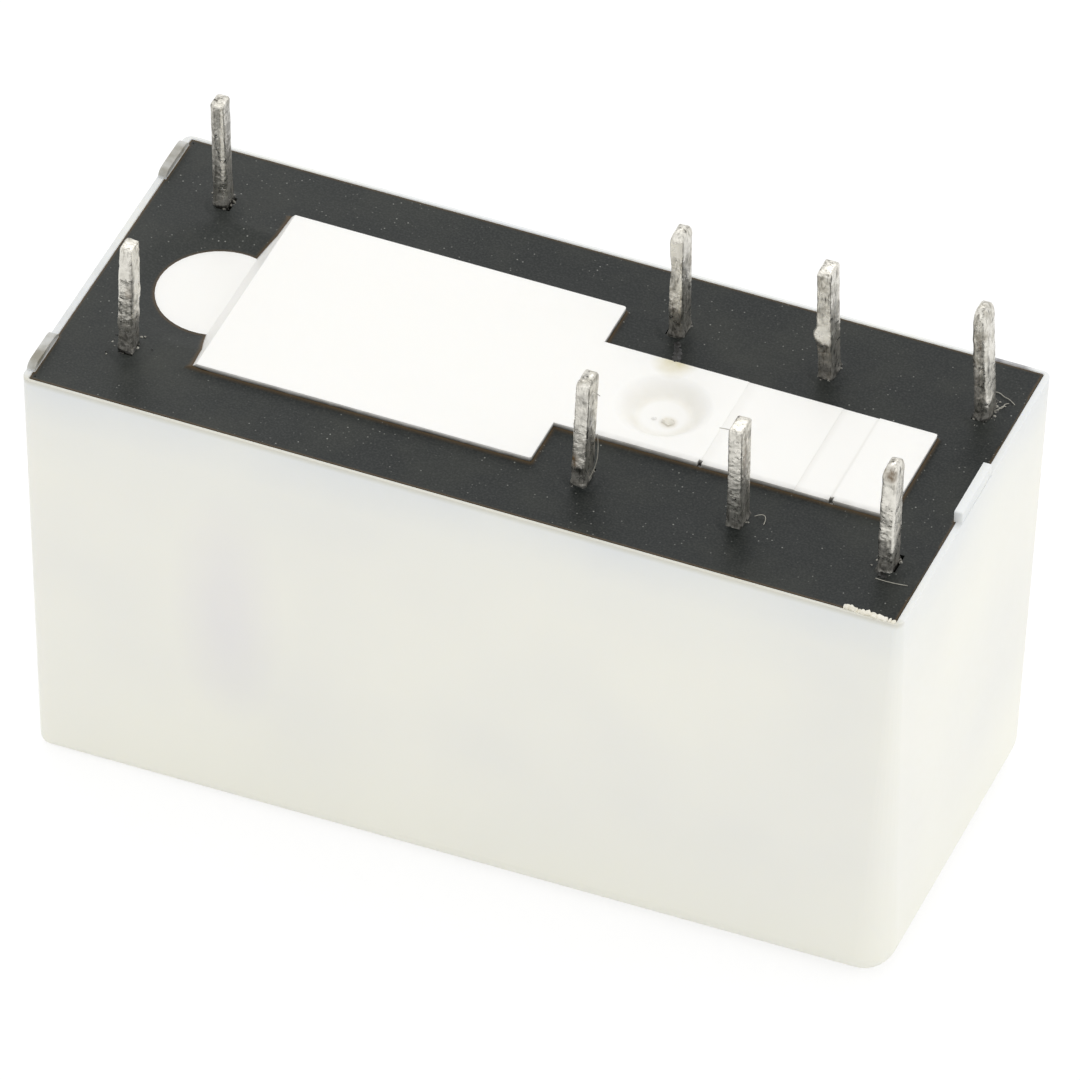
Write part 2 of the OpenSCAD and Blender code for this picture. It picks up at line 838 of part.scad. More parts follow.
module no_contact(s) {
  translate([no_leg_x, s * pin_y, contact_z])
    mirror([1, 0, 0])
      contact_rivet();
}

// Contact spring: flat leaf with a tip that passes through the card
module moving_spring(s) {
  leaf_r = 0.5;
  tip_r = 0.2;
  tip_z0 = card_z0 - card_roof_gap / 2;
  color("tan")
    translate([0, s * pin_y, 0])
      difference() {
        along(spring_x, spring_t) {
          tongue_2d(spring_w, contact_z - contact_r - spring_past, spring_top_z, leaf_r);
          tongue_2d(tip_w, tip_z0, contact_z, tip_r);
        }
        translate([0, 0, contact_z])
          rod(spring_x - spring_t, spring_x + 2 * spring_t, shank_r);
        translate([0, 0, rivet_z])
          rod(spring_x - spring_t, spring_x + 2 * spring_t, rivet_r + slide_gap);
      }
}

// Moving contact: a head on each face of the spring
module moving_contact(s) {
  color("lightgray")
    translate([0, s * pin_y, contact_z]) {
      translate([spring_x + spring_t, 0, 0])
        contact_head();
      translate([spring_x, 0, 0])
        mirror([1, 0, 0])
          contact_head();
      rod(spring_x, spring_x + spring_t, shank_r - bond_gap);
    }
}

// Rivet that holds the spring's root on the common terminal
module spring_rivet(s) {
  play = slide_gap + (spring_top_z - rivet_z) * tan(spring_turn);
  back_x = com_x - pin_t / 2 - bond_gap;
  front_x = spring_x + spring_t + play;
  color("silver")
    translate([0, s * pin_y, rivet_z]) {
      rod(back_x - rivet_head_t, back_x, rivet_head_r);
      rod(back_x - rivet_head_t / 2, front_x + rivet_head_t / 2, rivet_r);
      rod(front_x, front_x + rivet_head_t, rivet_head_r);
    }
}

cap();
base();
epoxy_seal();
bobbin();
coil_winding();
core();
yoke();
armature();
armature_spring();
actuator_card();
coil_terminal(-1);  // coil_terminal_1
coil_terminal(1);  // coil_terminal_2
lead_wire(-1);  // lead_wire_1
lead_wire(1);  // lead_wire_2
nc_terminal(-1);  // nc_terminal_1
nc_terminal(1);  // nc_terminal_2
com_terminal(-1);  // com_terminal_1
com_terminal(1);  // com_terminal_2
no_terminal(-1);  // no_terminal_1
no_terminal(1);  // no_terminal_2
nc_contact(-1);  // nc_contact_1
nc_contact(1);  // nc_contact_2
no_contact(-1);  // no_contact_1
no_contact(1);  // no_contact_2
moving_spring(-1);  // moving_spring_1
moving_spring(1);  // moving_spring_2
moving_contact(-1);  // moving_contact_1
moving_contact(1);  // moving_contact_2
spring_rivet(-1);  // spring_rivet_1
spring_rivet(1);  // spring_rivet_2
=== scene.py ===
"""Looks of a sealed two-pole power relay that lies on its cap with the pins up.

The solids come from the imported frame. This file dresses them: softened mouldings, cast potting with
its edge drawn up, pins with old solder on them, what was left round the pins, and the studio.
"""

import math
import random

import bmesh
import bpy
from bpy.props import FloatProperty, FloatVectorProperty, IntProperty, PointerProperty
from mathutils import Matrix, Vector, noise


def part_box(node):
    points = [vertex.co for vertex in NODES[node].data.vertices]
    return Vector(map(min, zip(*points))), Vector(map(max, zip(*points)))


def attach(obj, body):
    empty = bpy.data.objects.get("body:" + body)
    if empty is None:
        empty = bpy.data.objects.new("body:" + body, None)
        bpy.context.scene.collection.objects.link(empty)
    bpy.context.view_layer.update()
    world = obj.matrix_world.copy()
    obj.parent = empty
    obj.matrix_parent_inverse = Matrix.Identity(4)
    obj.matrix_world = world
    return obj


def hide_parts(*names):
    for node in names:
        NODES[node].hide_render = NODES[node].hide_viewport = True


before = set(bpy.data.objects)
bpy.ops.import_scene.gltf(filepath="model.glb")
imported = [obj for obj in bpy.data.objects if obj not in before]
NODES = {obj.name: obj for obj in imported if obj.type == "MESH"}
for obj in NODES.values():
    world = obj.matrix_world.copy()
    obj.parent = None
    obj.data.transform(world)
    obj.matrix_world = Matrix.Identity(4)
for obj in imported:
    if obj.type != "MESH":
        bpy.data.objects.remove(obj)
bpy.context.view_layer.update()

bl_info = {
    "name": "Relay Looks",
    "version": (1, 0, 0),
    "blender": (4, 5, 0),
    "location": "3D View > Sidebar > Relay",
    "description": "Dresses a two-pole power relay with mouldings, potting, pins and a studio",
    "category": "Object",
}

MM = 0.001
HOUSING = "housing"

# Levels that the solids give, in metres: tips, potting under its collars, pads, and rim under its feet
FOOT_H = 0.4 * MM
COLLAR_H = 0.06 * MM
TIP_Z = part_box("com_terminal_1")[1].z
SEAL_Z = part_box("epoxy_seal")[1].z - COLLAR_H
PAD_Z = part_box("base")[1].z
RIM_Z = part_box("cap")[1].z - FOOT_H

# Tongue of the base, the hollow that the potting sank into round it, and the gate dimple with its torn stub
TONGUE = Vector((-10.61, 0.0)) * MM
TONGUE_R = 2.0 * MM
SINK_R = 3.0 * MM
SINK_DEPTH = 0.45 * MM
DIMPLE = Vector((4.2, 0.0)) * MM
DIMPLE_R = 1.55 * MM
DIMPLE_DEPTH = 0.45 * MM
DISH_Z = PAD_Z - DIMPLE_DEPTH
DISH_SIDE = 0.7 * MM
STUB = Vector((4.44, -0.2)) * MM
STUB_CHIP = Vector((3.97, -0.21)) * MM

# The feet at the coil end lie beyond this, and are rubbed down to this share of their height
COIL_FEET_X = -13.5 * MM
RUBBED = 0.6

# Beyond these the potting's outline runs along the rim. Nearer than this to a pin it is that pin's collar.
MOUTH_X, MOUTH_Y = 13.9 * MM, 5.8 * MM
COLLAR_R = 0.95 * MM

# Sloped end of the wide pad: x, and distance from the middle across, from and to in millimetres
SLOPE_X = (-10.4, -9.85)
SLOPE_Y = (1.8, 3.9)

# Foot of a pin: how far old solder spreads it, and the heights over which spread and burnt flux fade
SPREAD = 0.11 * MM
SPREAD_H = 0.1 * MM
BURNT_H = 0.22 * MM


def pin_axis(name):
    """Where a pin's axis stands: the middle of the solid's top."""
    top = [v.co.xy for v in NODES[name].data.vertices if v.co.z > TIP_Z - 0.01 * MM]
    return sum(top, Vector((0.0, 0.0))) / len(top)


PIN_AXES = {name: pin_axis(name) for name in NODES if "_terminal_" in name}


def srgb(code):
    """Linear colour, with alpha, of an sRGB hex value."""
    channels = [int(code[i : i + 2], 16) / 255 for i in (1, 3, 5)]
    return [c / 12.92 if c <= 0.04045 else ((c + 0.055) / 1.055) ** 2.4 for c in channels] + [1.0]


# What time and the soldering bath left on each pin, and the painted shade, painted reflection of the potting and
# painted highlights among its marks. Edge is the rounding of the bar's long edges, and rough is how much of
# the solder's ripple it shows. Lean is how far base and tip stand from the drawn place. Tip is how long the
# tip's rounding is and the share of the bar that its end keeps. A lump is x, y, height over the potting, radius
# and how far it stands out. A mark is a channel, a place, a radius, how many times longer than wide it is, and
# a strength. Crumbs is how many lie round the foot and how far they reach. Lengths are millimetres from the
# pin's axis and the potting.
# Channels of a mark: burnt flux with stripes of painted shade and reflection, brown stain, clean solder with painted
# highlights
FLUX_AND_PAINTED_SHADE, STAIN, CLEAN_AND_PAINTED_HIGHLIGHT = range(3)
COIL_BAR = (0.45, 0.65)
CONTACT_BAR = (0.45, 0.8)
PINS = {
    "coil_terminal_1": {
        "size": COIL_BAR, "edge": 0.08, "rough": 1.3, "lean": ((-0.08, 0.15), (0.0, 0.12)),
        "tip": (0.1, 0.84), "seed": 3.1, "crumbs": (44, 0.6),
        "lumps": [(0.1, -0.3, 3.0, 0.35, 0.04), (0.25, -0.1, 2.2, 0.4, 0.05), (-0.1, -0.3, 1.2, 0.4, 0.04),
                  (0.3, 0.0, 4.0, 0.4, -0.05)],
        "marks": [(FLUX_AND_PAINTED_SHADE, 0.0, 0.0, 0.3, 0.75, 1.2, 1.0), (FLUX_AND_PAINTED_SHADE, 0.22, -0.28, 2.6, 0.06, 14.0, 0.8),
                  (STAIN, 0.1, -0.33, 2.4, 0.1, 2.5, 0.6), (CLEAN_AND_PAINTED_HIGHLIGHT, -0.1, -0.33, 3.0, 0.5, 2.0, 0.7)],
    },
    "coil_terminal_2": {
        "size": COIL_BAR, "edge": 0.12, "rough": 0.45, "lean": ((-0.16, 0.12), (-0.2, 0.0)),
        "tip": (0.06, 0.85), "seed": 7.4, "crumbs": (24, 0.35),
        "lumps": [(0.2, 0.0, 0.4, 0.3, 0.05)],
        "marks": [(FLUX_AND_PAINTED_SHADE, 0.0, 0.0, 0.1, 0.4, 1.0, 1.0), (FLUX_AND_PAINTED_SHADE, -0.2, -0.3, 2.4, 0.15, 14.0, 0.6),
                  (FLUX_AND_PAINTED_SHADE, 0.23, 0.05, 2.2, 0.26, 9.0, 0.75), (CLEAN_AND_PAINTED_HIGHLIGHT, 0.1, -0.33, 1.9, 0.16, 10.0, 1.0),
                  (FLUX_AND_PAINTED_SHADE, 0.0, -0.33, 3.7, 0.12, 1.2, 0.5)],
    },
    "nc_terminal_1": {
        "size": CONTACT_BAR, "edge": 0.06, "rough": 0.7, "lean": ((-0.02, -0.1), (0.08, -0.05)),
        "tip": (0.25, 0.6), "seed": 1.7, "crumbs": (14, 0.3),
        "lumps": [(0.0, -0.4, 0.8, 0.3, 0.03), (-0.2, -0.3, 2.4, 0.4, 0.02)],
        "marks": [(STAIN, -0.18, -0.4, 1.0, 0.16, 2.2, 1.0), (FLUX_AND_PAINTED_SHADE, 0.0, -0.2, 0.15, 0.5, 1.0, 0.8),
                  (FLUX_AND_PAINTED_SHADE, 0.23, -0.15, 2.1, 0.18, 7.0, 0.85), (FLUX_AND_PAINTED_SHADE, 0.05, -0.4, 3.5, 0.14, 1.4, 0.7),
                  (CLEAN_AND_PAINTED_HIGHLIGHT, -0.1, -0.4, 2.4, 0.3, 5.0, 0.6)],
    },
    "nc_terminal_2": {
        "size": CONTACT_BAR, "edge": 0.07, "rough": 0.5, "lean": ((0.09, 0.0), (0.08, -0.04)),
        "tip": (0.4, 0.4), "seed": 9.2, "crumbs": (14, 0.3),
        "lumps": [(-0.05, -0.4, 2.7, 0.4, -0.06), (0.1, -0.35, 1.2, 0.35, 0.03)],
        "marks": [(FLUX_AND_PAINTED_SHADE, 0.0, 0.0, 0.1, 0.6, 1.0, 1.0), (FLUX_AND_PAINTED_SHADE, 0.23, -0.1, 1.7, 0.22, 7.0, 0.8),
                  (FLUX_AND_PAINTED_SHADE, -0.1, -0.4, 2.3, 0.14, 3.0, 0.55), (CLEAN_AND_PAINTED_HIGHLIGHT, 0.0, -0.3, 3.6, 0.5, 1.0, 0.9)],
    },
    "com_terminal_1": {
        "size": CONTACT_BAR, "edge": 0.05, "rough": 0.45, "lean": ((0.0, 0.0), (0.1, -0.28)),
        "tip": (0.09, 0.82), "seed": 5.5, "crumbs": (20, 0.35),
        "lumps": [(0.1, -0.4, 0.5, 0.35, 0.04)],
        "marks": [(STAIN, 0.23, -0.12, 2.9, 0.1, 7.0, 1.0), (FLUX_AND_PAINTED_SHADE, 0.23, -0.1, 1.6, 0.2, 7.0, 0.8),
                  (FLUX_AND_PAINTED_SHADE, 0.0, -0.3, 0.25, 0.45, 1.0, 0.7), (CLEAN_AND_PAINTED_HIGHLIGHT, -0.1, -0.4, 2.2, 0.35, 5.0, 0.8)],
    },
    "com_terminal_2": {
        "size": CONTACT_BAR, "edge": 0.05, "rough": 0.8, "lean": ((0.0, 0.0), (-0.15, 0.03)),
        "tip": (0.12, 0.78), "seed": 2.9, "crumbs": (34, 0.4),
        "lumps": [(-0.26, -0.3, 1.75, 0.2, 0.12), (-0.1, -0.42, 1.5, 0.26, 0.09), (-0.2, -0.35, 2.3, 0.3, 0.04)],
        "marks": [(FLUX_AND_PAINTED_SHADE, 0.0, 0.0, 0.3, 0.8, 1.0, 1.0), (CLEAN_AND_PAINTED_HIGHLIGHT, -0.2, -0.38, 1.9, 0.4, 1.2, 1.0),
                  (FLUX_AND_PAINTED_SHADE, 0.23, -0.05, 1.7, 0.24, 7.0, 0.75), (FLUX_AND_PAINTED_SHADE, -0.05, -0.4, 2.8, 0.12, 3.0, 0.5)],
    },
    "no_terminal_1": {
        "size": CONTACT_BAR, "edge": 0.08, "rough": 0.8, "lean": ((-0.1, -0.1), (-0.05, -0.05)),
        "tip": (0.4, 0.35), "seed": 8.3, "crumbs": (16, 0.35),
        "lumps": [(0.1, -0.4, 2.6, 0.5, 0.03), (0.2, -0.2, 0.9, 0.4, 0.04), (-0.15, -0.4, 1.4, 0.4, 0.02)],
        "marks": [(STAIN, 0.06, -0.4, 3.85, 0.2, 1.2, 1.0), (FLUX_AND_PAINTED_SHADE, 0.0, -0.3, 0.05, 0.4, 1.0, 1.0),
                  (FLUX_AND_PAINTED_SHADE, -0.05, -0.4, 0.9, 0.2, 2.0, 0.5), (CLEAN_AND_PAINTED_HIGHLIGHT, 0.23, -0.3, 1.2, 0.1, 8.0, 1.0),
                  (CLEAN_AND_PAINTED_HIGHLIGHT, 0.0, -0.4, 2.2, 0.4, 4.0, 0.7)],
    },
    "no_terminal_2": {
        "size": CONTACT_BAR, "edge": 0.1, "rough": 1.0, "lean": ((0.05, 0.1), (-0.2, 0.28)),
        "tip": (0.45, 0.3), "seed": 4.6, "crumbs": (44, 0.5),
        "lumps": [(0.2, -0.3, 2.1, 0.5, 0.04), (-0.15, -0.4, 3.2, 0.4, 0.02), (0.2, -0.1, 0.6, 0.3, 0.06)],
        "marks": [(FLUX_AND_PAINTED_SHADE, 0.0, 0.0, 0.1, 0.45, 1.0, 1.0), (FLUX_AND_PAINTED_SHADE, -0.15, -0.4, 1.5, 0.14, 8.0, 0.7),
                  (FLUX_AND_PAINTED_SHADE, 0.05, -0.42, 2.6, 0.1, 6.0, 0.7), (CLEAN_AND_PAINTED_HIGHLIGHT, 0.22, -0.1, 2.0, 0.15, 7.0, 0.5),
                  (FLUX_AND_PAINTED_SHADE, 0.2, -0.3, 1.9, 0.07, 12.0, 0.7), (STAIN, 0.0, -0.42, 2.9, 0.08, 5.0, 0.6)],
    },
}

# Lint and hairs, each a run of places: x, y and height over the potting, in millimetres
THREADS = (
    ((12.97, -4.58, 0.01), (13.45, -4.62, 0.012), (13.99, -4.52, 0.01)),
    ((13.15, 4.84, 0.02), (13.35, 4.85, 0.05), (13.54, 4.71, 0.04), (13.75, 4.66, 0.06), (13.97, 4.51, 0.02)),
    ((13.6, 4.1, 0.02), (13.72, 4.25, 0.06), (13.66, 4.4, 0.05), (13.78, 4.5, 0.02)),
    ((13.4, 3.9, 0.03), (13.62, 4.02, 0.1), (13.7, 4.2, 0.16), (13.78, 4.25, 0.1)),
    ((3.3, -4.0, 0.03), (3.46, -3.72, 0.4), (3.52, -3.6, 1.1), (3.48, -3.62, 1.75)),
    ((3.42, -3.8, 3.55), (3.53, -3.8, 3.52), (3.6, -3.78, 3.44)),
    ((8.08, -4.25, 3.98), (7.9, -4.27, 4.0), (7.7, -4.3, 3.99)),
    ((8.5, -3.5, 0.02), (8.75, -3.3, 0.12), (8.98, -3.42, 0.1), (8.96, -3.66, 0.02)),
    ((-12.38, 4.19, 0.02), (-12.2, 4.05, 0.1), (-12.01, 4.04, 0.06), (-11.8, 3.92, 0.08), (-11.64, 3.78, 0.02)),
)

# Rings of dried flux round pins: pin, radius, start and sweep in radians, and the thread's own radius
FLUX_RINGS = (
    ("com_terminal_1", 0.52, 2.4, 2.6, 0.02), ("com_terminal_1", 0.52, 5.6, 0.9, 0.02),
    ("no_terminal_2", 0.5, 3.3, 2.2, 0.018), ("no_terminal_2", 0.58, 3.0, 1.2, 0.018),
    ("no_terminal_2", 0.46, 5.2, 1.5, 0.018),
)

# Torn flash on the near rim: place along the rim, half length, and half height, in millimetres, then where it
# starts, how far it draws outwards per millimetre, and its half width
FLASH = ((12.6, 0.05, 0.05), (12.68, 0.09, 0.12), (12.8, 0.1, 0.14), (12.88, 0.07, 0.06), (12.97, 0.06, 0.09),
         (13.08, 0.07, 0.04), (13.2, 0.13, 0.09), (13.36, 0.15, 0.12), (13.55, 0.16, 0.11), (13.75, 0.14, 0.08),
         (13.92, 0.12, 0.06), (14.08, 0.05, 0.08), (14.2, 0.08, 0.03))
FLASH_X, FLASH_Y, FLASH_Z = 12.66, -6.16, 15.29
FLASH_DRIFT = 0.045
FLASH_W = 0.1

# Flux that dripped from the far break pin on to the strip
DRIP = ((3.3, 3.3), (3.36, 3.16), (3.42, 3.02), (3.5, 2.86), (3.56, 2.68), (3.62, 2.5), (3.68, 2.32), (3.72, 2.18))

# Black blots at the feet of pins: x, y and radius, in millimetres
BLOTS = ((13.05, -4.36, 0.13), (13.16, -4.4, 0.1), (12.98, 3.5, 0.1), (2.95, -4.3, 0.08))

# Lamps of the studio: name, setting that holds the power, place and side in metres, and where they look
LAMPS = (
    ("Top lamp", "top_power", (-0.06, 0.26, 0.42), 0.45),
    ("End lamp", "end_power", (0.45, 0.02, 0.20), 0.35),
    ("Front lamp", "front_power", (-0.05, -0.45, 0.15), 0.35),
)
LAMP_AIM = Vector((0, 0, 0.008))

# Camera of the photo, solved from the pins: its place, its axes, and its lens and film in millimetres
EYE = Vector((122.663, -302.784, 297.297)) * MM
EYE_RIGHT = Vector((0.92356, 0.38333, 0.0102))
EYE_UP = Vector((-0.26093, 0.60873, 0.74924))
EYE_BACK = Vector((0.28099, -0.69463, 0.66222))
LENS, FILM = 469.16, 36.0


class RelayCaseSettings(bpy.types.PropertyGroup):
    """Sizes and colours of the mouldings and the potting."""

    rim_soften: FloatProperty(
        name="Rim rounding", description="Rounding of the cap's rim and feet",
        default=0.03 * MM, min=0.0, max=0.2 * MM, unit="LENGTH", precision=5)
    pad_soften: FloatProperty(
        name="Pad rounding", description="Rounding of the pads' edges that show through the potting",
        default=0.05 * MM, min=0.0, max=0.2 * MM, unit="LENGTH", precision=5)
    creep: FloatProperty(
        name="Potting creep", description="How far the potting climbs where it meets a wall",
        default=0.1 * MM, min=0.0, max=0.2 * MM, unit="LENGTH", precision=5)
    cap_colour: FloatVectorProperty(
        name="Cap", description="White of the cap", subtype="COLOR", size=4,
        default=srgb("#F4F3EA"), min=0.0, max=1.0)
    base_colour: FloatVectorProperty(
        name="Base", description="White of the base moulding", subtype="COLOR", size=4,
        default=srgb("#F6F5F1"), min=0.0, max=1.0)
    potting_colour: FloatVectorProperty(
        name="Potting", description="Black of the potting", subtype="COLOR", size=4,
        default=srgb("#171B1A"), min=0.0, max=1.0)


class RelayPinSettings(bpy.types.PropertyGroup):
    """How finely the pins are worked and how rough the old solder is."""

    rings: IntProperty(name="Rings", description="Rings along a pin", default=64, min=20, max=160)
    ripple: FloatProperty(
        name="Solder ripple", description="Height of the small ripples in the solder",
        default=0.018 * MM, min=0.0, max=0.06 * MM, unit="LENGTH", precision=5)
    solder_colour: FloatVectorProperty(
        name="Solder", description="Grey of the old solder", subtype="COLOR", size=4,
        default=srgb("#E2DFD6"), min=0.0, max=1.0)


class RelayStageSettings(bpy.types.PropertyGroup):
    """Lamps of the studio."""

    sky: FloatProperty(
        name="Sky", description="Strength of the even light from all round", default=0.84, min=0.0, max=2.0)
    top_power: FloatProperty(
        name="Top lamp", description="Power of the soft lamp over the pins", default=0.57, min=0.0, unit="POWER")
    end_power: FloatProperty(
        name="End lamp", description="Power of the soft lamp beyond the contact end", default=0.29, min=0.0,
        unit="POWER")
    front_power: FloatProperty(
        name="Front lamp", description="Power of the soft lamp before the long side", default=0.12, min=0.0,
        unit="POWER")


def fill(tree, node, inputs):
    """Sets a node's inputs or links them. A node given as a value stands for its first output in use."""
    for key, value in inputs.items():
        if isinstance(value, bpy.types.Node):
            value = next(out for out in value.outputs if out.enabled)
        if isinstance(value, bpy.types.NodeSocket):
            tree.links.new(value, node.inputs[key])
        else:
            node.inputs[key].default_value = value


def add(tree, kind, inputs=None, **settings):
    """Adds a shader node of a kind, sets its properties, and fills or links its inputs."""
    made = tree.nodes.new("ShaderNode" + kind)
    for key, value in settings.items():
        setattr(made, key, value)
    fill(tree, made, inputs or {})
    return made


def layered(tree, colour, layers):
    """Lays colours over a first one. Each layer's masks, multiplied, say how much of it shows."""
    for masks, code in layers:
        share = masks[0]
        for mask in masks[1:]:
            share = add(tree, "Math", {0: share, 1: mask}, operation="MULTIPLY")
        colour = add(tree, "Mix", {0: share, 6: colour, 7: srgb(code)}, data_type="RGBA")
    return colour


def per_mm(size):
    """Texture scale at which a pattern repeats about every so many millimetres."""
    return 1 / (size * MM)


def blank(name):
    """New material with its shader and the piece's own coordinates."""
    material = bpy.data.materials.new(name)
    material.use_nodes = True
    tree = material.node_tree
    shader = tree.nodes["Principled BSDF"]
    place = add(tree, "TexCoord").outputs["Object"]
    return material, tree, shader, place


def white_cap_pbt(settings):
    """Moulded PBT, filled white: satin, a little milky at its edges, clouded, with painted shade where the wall sank
    and painted warm light towards the roof.
    """
    material, tree, shader, place = blank("Moulded white PBT cap")
    along, across, height = add(tree, "SeparateXYZ", {0: place}).outputs
    cloud = add(tree, "TexNoise", {"Vector": place, "Scale": per_mm(7), "Detail": 2.0})
    soft = add(tree, "MapRange", {0: cloud, 1: 0.35, 2: 0.7, 4: 0.5})
    # Cooler under the rim, where the potting lies behind the thin wall
    cool = add(tree, "MapRange", {0: height, 1: 11.5 * MM, 2: 15.3 * MM, 4: 0.55})
    # Painted warm light towards the roof, which lies on the floor: light bounced up from the floor
    warm = add(tree, "MapRange", {0: height, 1: 5.0 * MM, 2: 0.0, 4: 0.7})
    # Blue-grey haze under the rim, where the black potting shows through the thin lip
    haze = add(tree, "MapRange", {0: height, 1: 13.6 * MM, 2: 15.2 * MM})
    uneven = add(tree, "MapRange", {0: cloud, 1: 0.35, 2: 0.65, 3: 0.1, 4: 0.6})
    # Painted faint lavender shade where the long wall sank, 4 mm wide and 10 mm tall
    spread = (per_mm(2.0), per_mm(2.0), per_mm(5.0))
    middle = (7.7 / 2.0, 6.2 / 2.0, -8.2 / 5.0)
    off = add(tree, "VectorMath", {0: place, 1: spread, 2: middle}, operation="MULTIPLY_ADD")
    off = add(tree, "VectorMath", {0: off}, operation="LENGTH")
    painted_sink_shade = add(tree, "MapRange", {0: off, 1: 1.0, 2: 0.2, 4: 0.45})
    # Tops of the feet at the coil end, grey-brown in patches
    fleck = add(tree, "TexNoise", {"Vector": place, "Scale": per_mm(0.7), "Detail": 5.0})
    patchy = add(tree, "MapRange", {0: fleck, 1: 0.35, 2: 0.65, 3: 0.45, 4: 0.95})
    worn = add(tree, "MapRange", {0: height, 1: RIM_Z - 0.02 * MM, 2: RIM_Z + 0.1 * MM})
    end = add(tree, "Math", {0: along, 1: COIL_FEET_X}, operation="LESS_THAN")
    # Grey-violet film that the potting left on the far rim, beyond the far make pin
    film = add(tree, "MapRange", {0: height, 1: RIM_Z - 0.12 * MM, 2: RIM_Z - 0.03 * MM})
    run_in = add(tree, "MapRange", {0: along, 1: 12.2 * MM, 2: 12.6 * MM})
    run_out = add(tree, "MapRange", {0: along, 1: 14.0 * MM, 2: 13.6 * MM})
    far = add(tree, "Math", {0: across, 1: 6.1 * MM}, operation="GREATER_THAN")
    # Tan grime on the near lip, fading down the wall
    lip = add(tree, "MapRange", {0: height, 1: RIM_Z - 0.25 * MM, 2: RIM_Z, 4: 0.6},
              interpolation_type="SMOOTHSTEP")
    near = add(tree, "MapRange", {0: across, 1: -6.0 * MM, 2: -6.3 * MM})
    # Brown fleck on the near upright corner
    corner = (14.4 * MM, -6.15 * MM, 3.2 * MM)
    away = add(tree, "VectorMath", {0: place, 1: corner}, operation="DISTANCE")
    dirt = add(tree, "MapRange", {0: away, 1: 0.16 * MM, 2: 0.05 * MM, 4: 0.7})
    colour = layered(tree, settings.cap_colour, (
        ([soft], "#E9E9E6"), ([cool], "#EAECE9"), ([warm], "#F7F6EA"), ([haze, uneven], "#DCE0E5"),
        ([painted_sink_shade], "#E3E0E6"), ([worn, end, patchy], "#827D6E"),
        ([film, run_in, run_out, far, patchy], "#6F6D73"), ([lip, near], "#C6C1AC"), ([dirt], "#A58E66")))
    # Fine spark texture of the mould, drawn at 0.25 mm so that it shows
    grain = add(tree, "TexNoise", {"Vector": place, "Scale": per_mm(0.25), "Detail": 3.0})
    wave = add(tree, "TexNoise", {"Vector": place, "Scale": per_mm(5), "Detail": 1.0})
    rough = add(tree, "MapRange", {0: grain, 1: 0.3, 2: 0.7, 3: 0.3, 4: 0.42})
    sunk = add(tree, "Bump", {"Strength": 0.25, "Distance": 0.25 * MM, "Height": wave})
    bump = add(tree, "Bump", {"Strength": 0.12, "Distance": 0.01 * MM, "Height": grain, "Normal": sunk})
    fill(tree, shader, {"Base Color": colour, "Roughness": rough, "Normal": bump, "IOR": 1.55,
                        "Subsurface Weight": 0.2, "Subsurface Radius": (1.0, 0.95, 0.8),
                        "Subsurface Scale": 0.4 * MM})
    return material


